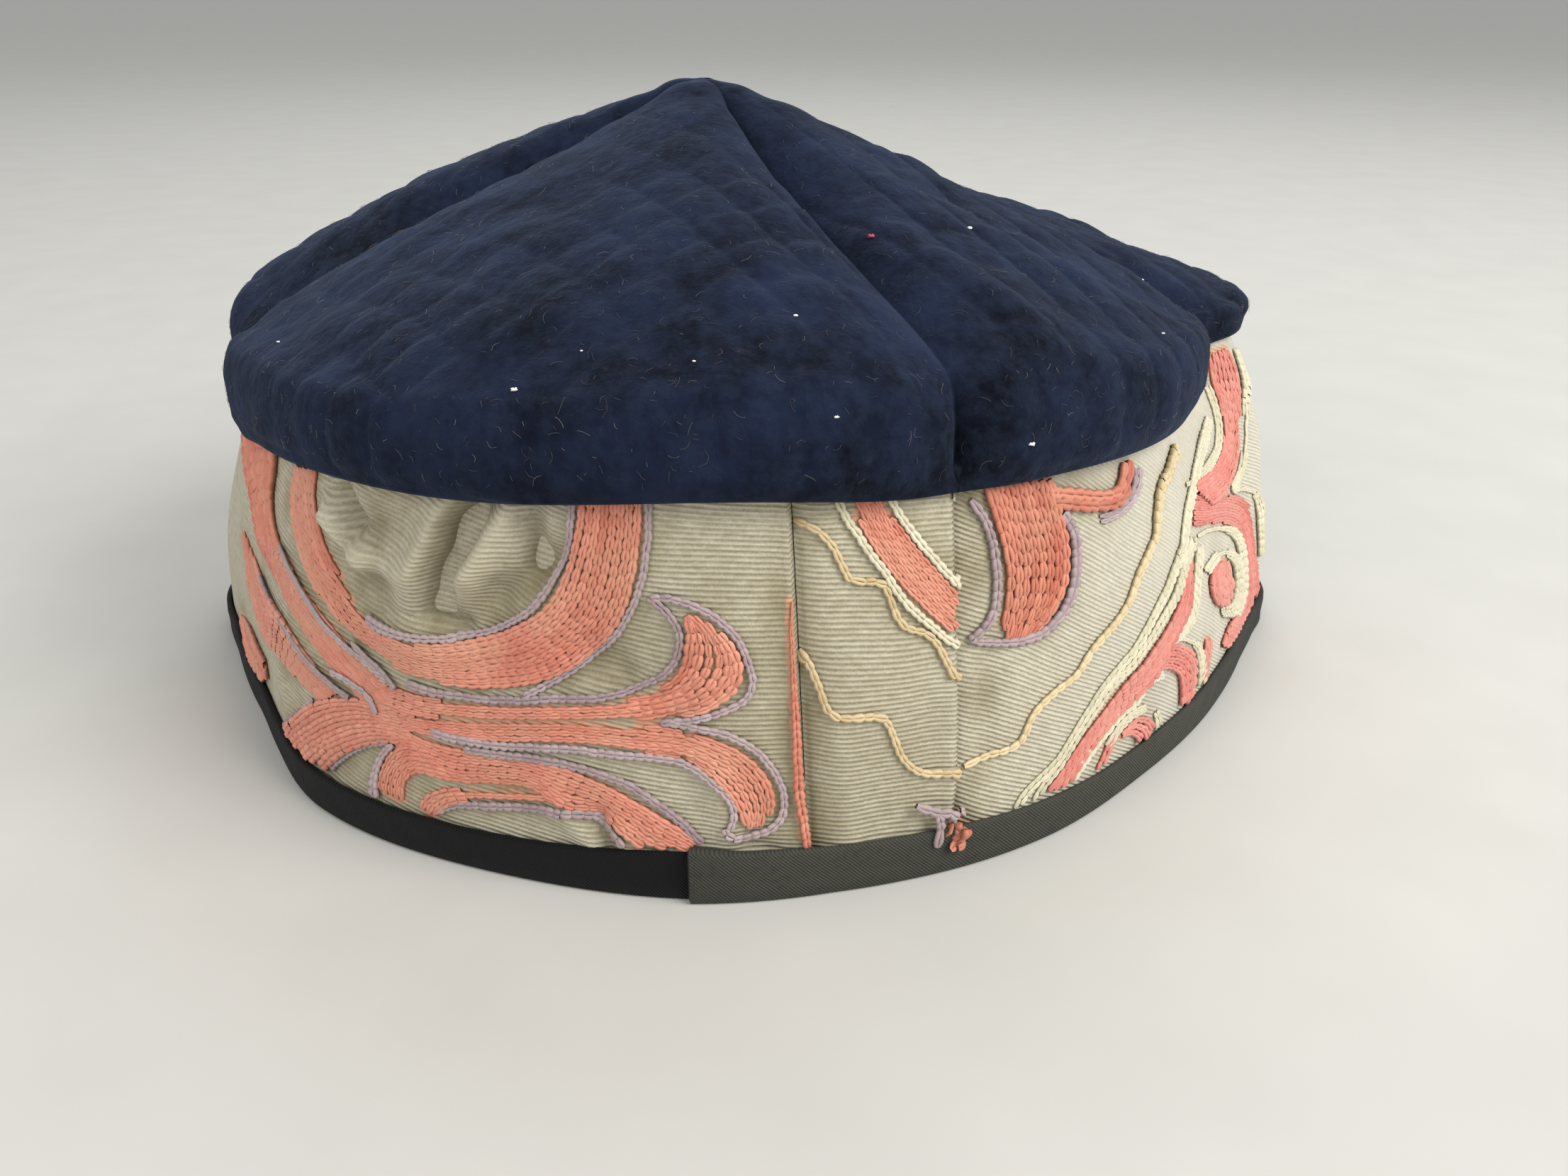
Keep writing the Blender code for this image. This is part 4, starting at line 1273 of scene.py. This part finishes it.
def embroidery():
    """Every chain-stitch group, by panel and colour.

    The numbers of a fill are its row pitch and link length, those of a ribbon start with its width
    in pixels, and those of a line are its width, link length and lift.
    """
    coral_left = Threads("coral_chain_left", "coral_thread", "coral_thread", 11)
    for shape in (U_BAND, UPPER_BRANCH, LOWER_BRANCH, BOTTOM_BRANCH, SECOND_FOOT, FOOT_RETURN):
        fill(coral_left, shape, azimuths=LEFT_PANEL)
    for shape in (OUTER_ARM, FAR_ARM, EDGE_ARM, FOOT):
        fill(coral_left, shape, 0.0019, LEFT_PANEL, 0.0021)
    coral_insert = Threads("coral_chain_insert", "coral_thread", "coral_thread", 12)
    fill(coral_insert, INSERT_STRIPE, 0.00095, INSERT_PANEL, 0.0015)
    line(coral_insert, SEAM_SLIVER, SLIVER_WIDTHS, 0.0013)
    coral_right = Threads("coral_chain_right", "coral_thread", "coral_thread_right", 13)
    fill(coral_right, TONGUE, 0.0017, RIGHT_PANEL, 0.0021)
    fill(coral_right, TONGUE_BRANCH, 0.0016, RIGHT_PANEL, 0.0021)
    line(coral_right, STRAY_KNOT, 0.0024, 0.0013, 0.0018, True)
    line(coral_right, STRAY_TAIL, 0.0015, 0.0014, 0.0018, True)
    red_right = Threads("red_chain_right", "coral_thread", "red_thread", 14)
    for shape in (S_BAND, LOBE, LEAF, RED_STREAM, HOOK, LOW_LEAF):
        fill(red_right, shape, 0.0016, RIGHT_PANEL, 0.0019)
    ribbons(red_right, RED_ROWS, 9, 0.0012, RIGHT_PANEL)
    lilac = Threads("lilac_chain", "lilac_thread", "lilac_thread", 15)
    ribbons(lilac, LILAC_LEFT, 12.5, 0.0016, LEFT_PANEL, 0.0013)
    for pixels in LILAC_THIN:
        line(lilac, pixels, 0.0011, 0.0014, 0.0004)
    ribbons(lilac, LILAC_RIGHT, 13.5, 0.0017, RIGHT_PANEL, 0.0014)
    line(lilac, STRAY_LILAC, 0.0016, 0.0018, 0.0010, True)
    line(lilac, STRAY_LEG, 0.0015, 0.0018, 0.0012, True)
    ochre = Threads("ochre_chain", "cream_thread", "ochre_thread", 16)
    ribbons(ochre, OCHRE_INSERT, 12.5, 0.0016, INSERT_PANEL, 0.0016)
    ribbons(ochre, OCHRE_RIGHT, 9.5, 0.0017, RIGHT_PANEL, 0.0016)
    cream = Threads("cream_chain", "cream_thread", "cream_thread", 17)
    ribbons(cream, CREAM_INSERT, 14, 0.0016, INSERT_PANEL, 0.0014)
    ribbons(cream, CREAM_RIGHT, 10, 0.0015, RIGHT_PANEL, 0.0015)
    return [coral_left, coral_insert, coral_right, red_right, lilac, ochre, cream]


def lint(grids):
    """Small pale and brown hairs caught on the velvet, as one mesh of thin three-sided strands."""
    random = np.random.default_rng(LINT_SEED)
    strands = []
    shades = []
    for grid in grids:
        rows, columns = grid.shape[:2]
        count = int(LINT_COUNT * columns / LINT_COLUMNS)
        row = (np.sqrt(random.uniform(*LINT_SPREAD, count)) * (rows - LINT_MARGIN)).astype(int)
        column = random.integers(LINT_MARGIN - 1, columns - LINT_MARGIN, count)
        here = grid[row, column]
        up = face_normals(grid)[row, column]
        up *= np.where(up[:, 2:] < -LINT_STEEP, -1.0, 1.0)
        outside = (here * np.array([1, 1, 0]) * up).sum(1, keepdims=True)
        up *= np.where((np.abs(up[:, 2:]) < LINT_STEEP) & (outside < 0), -1.0, 1.0)
        way = unit(np.cross(up, random.normal(0, 1, (count, 3))))
        aside = np.cross(up, way)
        length = random.uniform(*LINT_LENGTHS, (count, 1)) * random.uniform(*LINT_SHORTENING, (count, 1))
        bend = random.normal(0, LINT_BEND, (count, 1))
        strand = []
        for place in np.linspace(-0.5, 0.5, LINT_POINTS):
            arch = 0.25 - place**2
            centre = here + way * length * place - aside * bend * length * arch * 2
            centre = centre + up * (LINT_LIFT[0] + LINT_LIFT[1] * arch * random.uniform(0, 1, (count, 1)))
            for angle in np.arange(LINT_SIDES) / LINT_SIDES * 2 * pi:
                strand.append(centre + (aside * cos(angle) + up * sin(angle)) * LINT_THICKNESS)
        strands.append(np.stack(strand, 1))
        shades.append(random.uniform(0, 1, count))
    piece = tube_piece("crown_lint", np.concatenate(strands).reshape(-1, LINT_POINTS, LINT_SIDES, 3))
    note(piece, "shade", np.repeat(np.concatenate(shades), LINT_POINTS * LINT_SIDES))
    return piece


def crown_place(grids, pixel):
    """The nearest crown point that shows at this pixel."""
    points = np.concatenate([grid.reshape(-1, 3) for grid in grids])
    offset = points - CAMERA_PLACE
    depth = offset @ AHEAD
    across = FRAME_WIDTH / 2 + FOCAL_PIXELS * offset[:, 0] / depth
    down = FRAME_HEIGHT / 2 + FOCAL_PIXELS * (offset @ BELOW) / depth
    score = np.hypot(across - pixel[0], down - pixel[1]) + depth * DISTANCE_WEIGHT
    return points[score.argmin()]


def speck_piece(name, grids, specks):
    """Small crumpled flecks of fluff on the velvet."""
    random = np.random.default_rng(SPECK_SEED)
    tilt = pi * (np.arange(SPECK_RINGS)[:, None] + 0.5) / SPECK_RINGS
    angle = np.arange(SPECK_SIDES) / SPECK_SIDES * 2 * pi
    ball = polar(np.degrees(angle) + 90, np.sin(tilt) + 0 * angle, np.cos(tilt))
    flecks = []
    for *pixel, size in specks:
        spread = size * random.uniform(*SPECK_CRUMPLE, (SPECK_RINGS, SPECK_SIDES, 1))
        middle = crown_place(grids, pixel) + np.array(SPECK_LIFT) * size
        flecks.append(middle + spread * ball * np.array(SPECK_SHAPE))
    piece = tube_piece(name, np.array(flecks))
    return piece


def rgb(red, green, blue):
    """A linear colour from one read on a screen, from 0 to 255."""
    values = []
    for part in (red, green, blue):
        share = part / 255
        values.append(share / 12.92 if share <= 0.04045 else ((share + 0.055) / 1.055) ** 2.4)
    return (*values, 1.0)


class Surface:
    """A Principled material, and short ways to add nodes to it."""

    def __init__(self, name, **sockets):
        self.material = bpy.data.materials.new(name)
        self.material.use_nodes = True
        self.tree = self.material.node_tree
        self.shader = self.tree.nodes["Principled BSDF"]
        for socket, value in sockets.items():
            self.put(value, self.shader.inputs[socket.replace("_", " ")])

    def put(self, value, socket):
        """A link from an output, a colour from 0 to 255, or a plain number."""
        if isinstance(value, bpy.types.NodeSocket):
            self.tree.links.new(value, socket)
        else:
            socket.default_value = rgb(*value) if isinstance(value, tuple) else value

    def add(self, kind, inputs=(), **settings):
        """A node with these settings, and with values or links at the named or numbered inputs."""
        node = self.tree.nodes.new(kind)
        for key, value in settings.items():
            setattr(node, key, value)
        for socket, value in dict(inputs).items():
            self.put(value, node.inputs[socket])
        return node

    def read(self, name):
        """The number kept under this name for each point."""
        return self.add("ShaderNodeAttribute", attribute_name=name).outputs["Fac"]

    def noise(self, scale, detail=3.0, roughness=0.55, vector=None):
        """Smooth noise over the piece, or along a given vector."""
        vector = vector or self.add("ShaderNodeTexCoord").outputs["Object"]
        inputs = {"Vector": vector, "Scale": scale, "Detail": detail, "Roughness": roughness}
        return self.add("ShaderNodeTexNoise", inputs).outputs["Fac"]

    def maths(self, operation, first, second=0.0, clamp=False):
        """One sum on one or two values."""
        inputs = {0: first, 1: second}
        return self.add("ShaderNodeMath", inputs, operation=operation, use_clamp=clamp).outputs[0]

    def times(self, first, second, clamp=False):
        """The product of two values."""
        return self.maths("MULTIPLY", first, second, clamp)

    def wave(self, value):
        """0 to 1 and back, once for each whole step of the value."""
        return self.stretch(self.maths("SINE", self.times(value, 2 * pi)), -1.0, 1.0)

    def stretch(self, value, low, high, to_low=0.0, to_high=1.0):
        """The value's range from low to high spread over another range."""
        inputs = enumerate((value, low, high, to_low, to_high))
        return self.add("ShaderNodeMapRange", inputs).outputs["Result"]

    def mix(self, factor, first, second):
        """From the first colour to the second; the node's colours are inputs 6 and 7, output 2."""
        inputs = {"Factor": factor, 6: first, 7: second}
        return self.add("ShaderNodeMix", inputs, data_type="RGBA").outputs[2]

    def along(self, run, grain):
        """A vector from two numbers."""
        return self.add("ShaderNodeCombineXYZ", {"X": run, "Y": grain}).outputs[0]

    def bump(self, height, distance, strength=1.0, after=None):
        """A normal from this height, over an earlier normal if there is one."""
        inputs = {"Strength": strength, "Distance": distance, "Height": height}
        if after is not None:
            inputs["Normal"] = after
        return self.add("ShaderNodeBump", inputs).outputs["Normal"]

    def finish(self, colour, roughness, normal=None):
        """The material with its colour, roughness and normal joined to the shader."""
        self.put(colour, self.shader.inputs["Base Color"])
        self.put(roughness, self.shader.inputs["Roughness"])
        if normal is not None:
            self.put(normal, self.shader.inputs["Normal"])
        return self.material


def velvet_material():
    """Mottled dark navy pile."""
    cloth = Surface("velvet", Sheen_Weight=0.14, Sheen_Roughness=0.4, Sheen_Tint=(160, 180, 220),
                    Specular_IOR_Level=0.08)
    blotches = cloth.stretch(cloth.noise(75, 4, 0.6), 0.36, 0.66)
    crushed = cloth.stretch(cloth.noise(420, 4, 0.65), 0.38, 0.64)
    brown = cloth.stretch(cloth.noise(640, 5, 0.75), 0.58, 0.78)
    colour = cloth.mix(blotches, (9, 11, 19), (26, 33, 54))
    colour = cloth.mix(cloth.times(crushed, 0.42), colour, (33, 43, 60))
    colour = cloth.mix(cloth.times(brown, 0.32), colour, (62, 54, 48))
    normal = cloth.bump(crushed, 0.0003, 0.35)
    normal = cloth.bump(cloth.noise(2600, 3, 0.7), 0.0002, 0.5, normal)
    return cloth.finish(colour, 0.95, normal)


def cloth_material():
    """Ribbed cloth, grey-green, soiled beside the stitching, with patches of age stains and painted shade,
    painted shade in rib grooves and fold hollows, and painted highlights on fold ridges.
    """
    cloth = Surface("ribbed_cloth", Sheen_Weight=0.12, Sheen_Roughness=0.4, Specular_IOR_Level=0.3)
    grain, run, soil, fold = (cloth.read(name) for name in ("grain", "run", "soil", "fold"))
    rib = cloth.wave(grain)
    streaks = cloth.noise(1.0, 3, 0.6, cloth.along(cloth.times(run, 420), cloth.times(grain, 0.9)))
    slub = cloth.noise(1.0, 2, 0.5, cloth.along(cloth.times(run, 2600), cloth.times(grain, 1.7)))
    groove = cloth.maths("POWER", cloth.maths("SUBTRACT", 1.0, rib), 1.6)
    # painted shade in the grooves between the ribs: patchy, and weaker on the right panel, which faces the
    # light
    groove_shade = cloth.stretch(cloth.noise(1500, 3, 0.7), 0.35, 0.65, 0.18, 0.62)
    groove_shade = cloth.times(groove_shade, cloth.stretch(run, 0.035, 0.085, 1.0, 0.6))
    dirt = cloth.stretch(cloth.noise(70, 4, 0.6), 0.45, 0.68)
    dirty = cloth.times(soil, cloth.maths("ADD", dirt, 0.35), clamp=True)
    patchy = cloth.stretch(cloth.noise(180, 4, 0.65), 0.30, 0.62, 0.35, 1.0)
    stain_and_shade = cloth.times(cloth.read("stain_and_shade"), patchy)
    colour = cloth.mix(cloth.stretch(streaks, 0.3, 0.7), (178, 170, 146), (205, 198, 176))
    #   how much of each colour is laid over the ones before it
    for share, tint in (
        # painted shade in the rib grooves
        (cloth.times(groove, groove_shade), (112, 104, 78)),
        (cloth.stretch(slub, 0.45, 0.75, 0.0, 0.3), (140, 130, 104)),
        (cloth.times(dirty, 0.6), (128, 116, 78)),
        (cloth.times(dirt, 0.14), (140, 128, 96)),
        # patches that are partly age stains and partly painted shade
        (cloth.times(stain_and_shade, 0.8), (114, 100, 62)),
        # painted shade in the hollows of the puckers, and painted highlight on their ridges
        (cloth.stretch(fold, -0.0035, -0.0003, 0.55, 0.0), (98, 86, 56)),
        (cloth.stretch(fold, 0.0003, 0.0024, 0.0, 0.30), (222, 214, 188)),
        (cloth.stretch(run, 0.035, 0.085, 0.0, 0.45), (214, 210, 197)),
        (cloth.stretch(soil, 0.91, 0.965, 0.0, 0.9), (206, 150, 118)),
    ):
        colour = cloth.mix(share, colour, tint)
    height = cloth.maths("ADD", cloth.times(rib, 0.8), cloth.times(slub, 0.4))
    return cloth.finish(colour, 0.62, cloth.bump(height, 0.00026, 0.75))


def thread_material(name, dark, light, faded, deep):
    """Embroidery thread whose links differ a little in tone, with painted shade down their sides and
    underneath.
    """
    cloth = Surface(name, Sheen_Weight=0.2, Sheen_Roughness=0.4, Specular_IOR_Level=0.35)
    age = cloth.stretch(cloth.noise(75, 4, 0.65), 0.42, 0.66)
    fibres = cloth.noise(3800, 3, 0.7)
    colour = cloth.mix(cloth.stretch(cloth.read("shade"), 0.0, 1.0), dark, light)
    colour = cloth.mix(cloth.times(age, 0.45), colour, faded)
    colour = cloth.mix(cloth.stretch(fibres, 0.35, 0.7, 0.25, 0.0), colour, dark)
    # painted shade down the strands' sides and underneath
    colour = cloth.mix(cloth.stretch(cloth.read("side"), 0.12, 0.75, 0.0, 0.85), colour, deep)
    return cloth.finish(colour, 0.55, cloth.bump(fibres, 0.00012, 0.7))


def lint_material():
    """Lint from dark brown to pale straw."""
    cloth = Surface("lint", Sheen_Weight=0.2, Sheen_Roughness=0.4)
    colour = cloth.mix(cloth.maths("POWER", cloth.read("shade"), 3.0), (44, 42, 44), (124, 116, 102))
    colour = cloth.mix(cloth.stretch(cloth.noise(1200, 3, 0.7), 0.4, 0.7, 0.0, 0.4), colour, (96, 78, 60))
    return cloth.finish(colour, 0.9)


def tape_material():
    """Black twill tape, with painted light: paler and greyer where it faces the window."""
    cloth = Surface("tape", Sheen_Weight=0.04, Sheen_Roughness=0.4, Specular_IOR_Level=0.14)
    twill = cloth.wave(cloth.read("twill"))
    window_light = cloth.read("window_light")
    # painted light: paler colour and paler twill threads where the tape faces the window
    colour = cloth.mix(window_light, (8, 8, 9), (57, 57, 51))
    thread = cloth.mix(window_light, (24, 24, 25), (88, 88, 79))
    grime = cloth.stretch(cloth.noise(900, 4, 0.7), 0.5, 0.75)
    colour = cloth.mix(cloth.times(twill, 0.4), colour, thread)
    colour = cloth.mix(cloth.times(grime, 0.3), colour, (14, 14, 15))
    return cloth.finish(colour, 0.7, cloth.bump(twill, 0.00016, 0.8))


def lights_and_floor():
    """Plain pale floor and soft studio light."""
    corners = np.array([(-1, -1, 0), (1, -1, 0), (1, 1, 0), (-1, 1, 0)], float)
    floor = mesh_piece("floor", FLOOR_REACH * corners, np.array([(0, 1, 2, 3)]), smooth=False)
    pale = Surface("pale_floor")
    speckle = pale.noise(40, 3, 0.5)
    floor.data.materials.append(pale.finish(pale.mix(speckle, (186, 184, 177), (196, 194, 187)), 0.85))
    world = bpy.data.worlds.new("studio")
    world.use_nodes = True
    sky = world.node_tree.nodes["Background"].inputs
    sky["Color"].default_value = rgb(240, 242, 246)
    sky["Strength"].default_value = SKY_STRENGTH
    bpy.context.scene.world = world
    for name, place, target, size, power, colour in LIGHTS:
        lamp = bpy.data.lights.new(name, "AREA")
        lamp.energy = power
        lamp.size = size
        lamp.color = colour
        holder = bpy.data.objects.new(name, lamp)
        holder.location = place
        holder.rotation_euler = (Vector(target) - Vector(place)).to_track_quat("-Z", "Y").to_euler()
        bpy.context.collection.objects.link(holder)


def camera():
    """The camera at the chosen place and pitch."""
    data = bpy.data.cameras.new("camera")
    data.sensor_width = SENSOR_WIDTH * 1000
    data.lens = FOCAL_PIXELS / FRAME_WIDTH * SENSOR_WIDTH * 1000
    data.clip_start = 0.01
    holder = bpy.data.objects.new("camera", data)
    holder.location = CAMERA_PLACE
    holder.rotation_euler = Euler((pi / 2 - CAMERA_PITCH, 0, 0))
    bpy.context.collection.objects.link(holder)
    bpy.context.scene.camera = holder


def dress(piece, material):
    """Gives a piece its material and lets it ride on the one body."""
    piece.data.materials.append(material)
    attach(piece, "root")


def build():
    """Everything: crown, fluff, stitching, band, tape, light and camera."""
    bpy.context.scene.view_settings.view_transform = "Standard"
    velvet = velvet_material()
    grids = []
    for row in GORES:
        piece, grid = crown_gore(*row)
        dress(piece, velvet)
        grids.append(grid)
    dress(lint(grids), lint_material())
    for name, specks, colours in (("pale_specks", SPECKS, ((226, 222, 212), (246, 243, 236))),
                                  ("red_speck", [RED_SPECK], ((150, 44, 60), (196, 84, 96)))):
        piece = speck_piece(name, grids, specks)
        fleck = Surface(name)
        dress(piece, fleck.finish(fleck.mix(fleck.noise(2500), *colours), 0.9))
    threads = embroidery()
    looks = {name: thread_material(name, *colours) for name, colours in THREAD_LOOKS.items()}
    for group in threads:
        dress(group.make(), looks[group.look])
    coral = [group for group in threads if group.slot == "coral_thread"]
    spots = surface(np.concatenate([np.array(group.links)[:, 0:2] for group in coral]))
    cloth = cloth_material()
    back = (BACK_SEAM[0] - 360, BACK_SEAM[1] - 360)
    for name, first, last in (("band_left", back, FRONT_LEFT_SEAM),
                              ("band_insert", FRONT_LEFT_SEAM, FRONT_RIGHT_SEAM),
                              ("band_right", FRONT_RIGHT_SEAM, BACK_SEAM)):
        dress(band_panel(name, first, last, spots), cloth)
    dress(edge_tape(), tape_material())
    lights_and_floor()
    camera()


PUCKERS = pucker_places()
build()
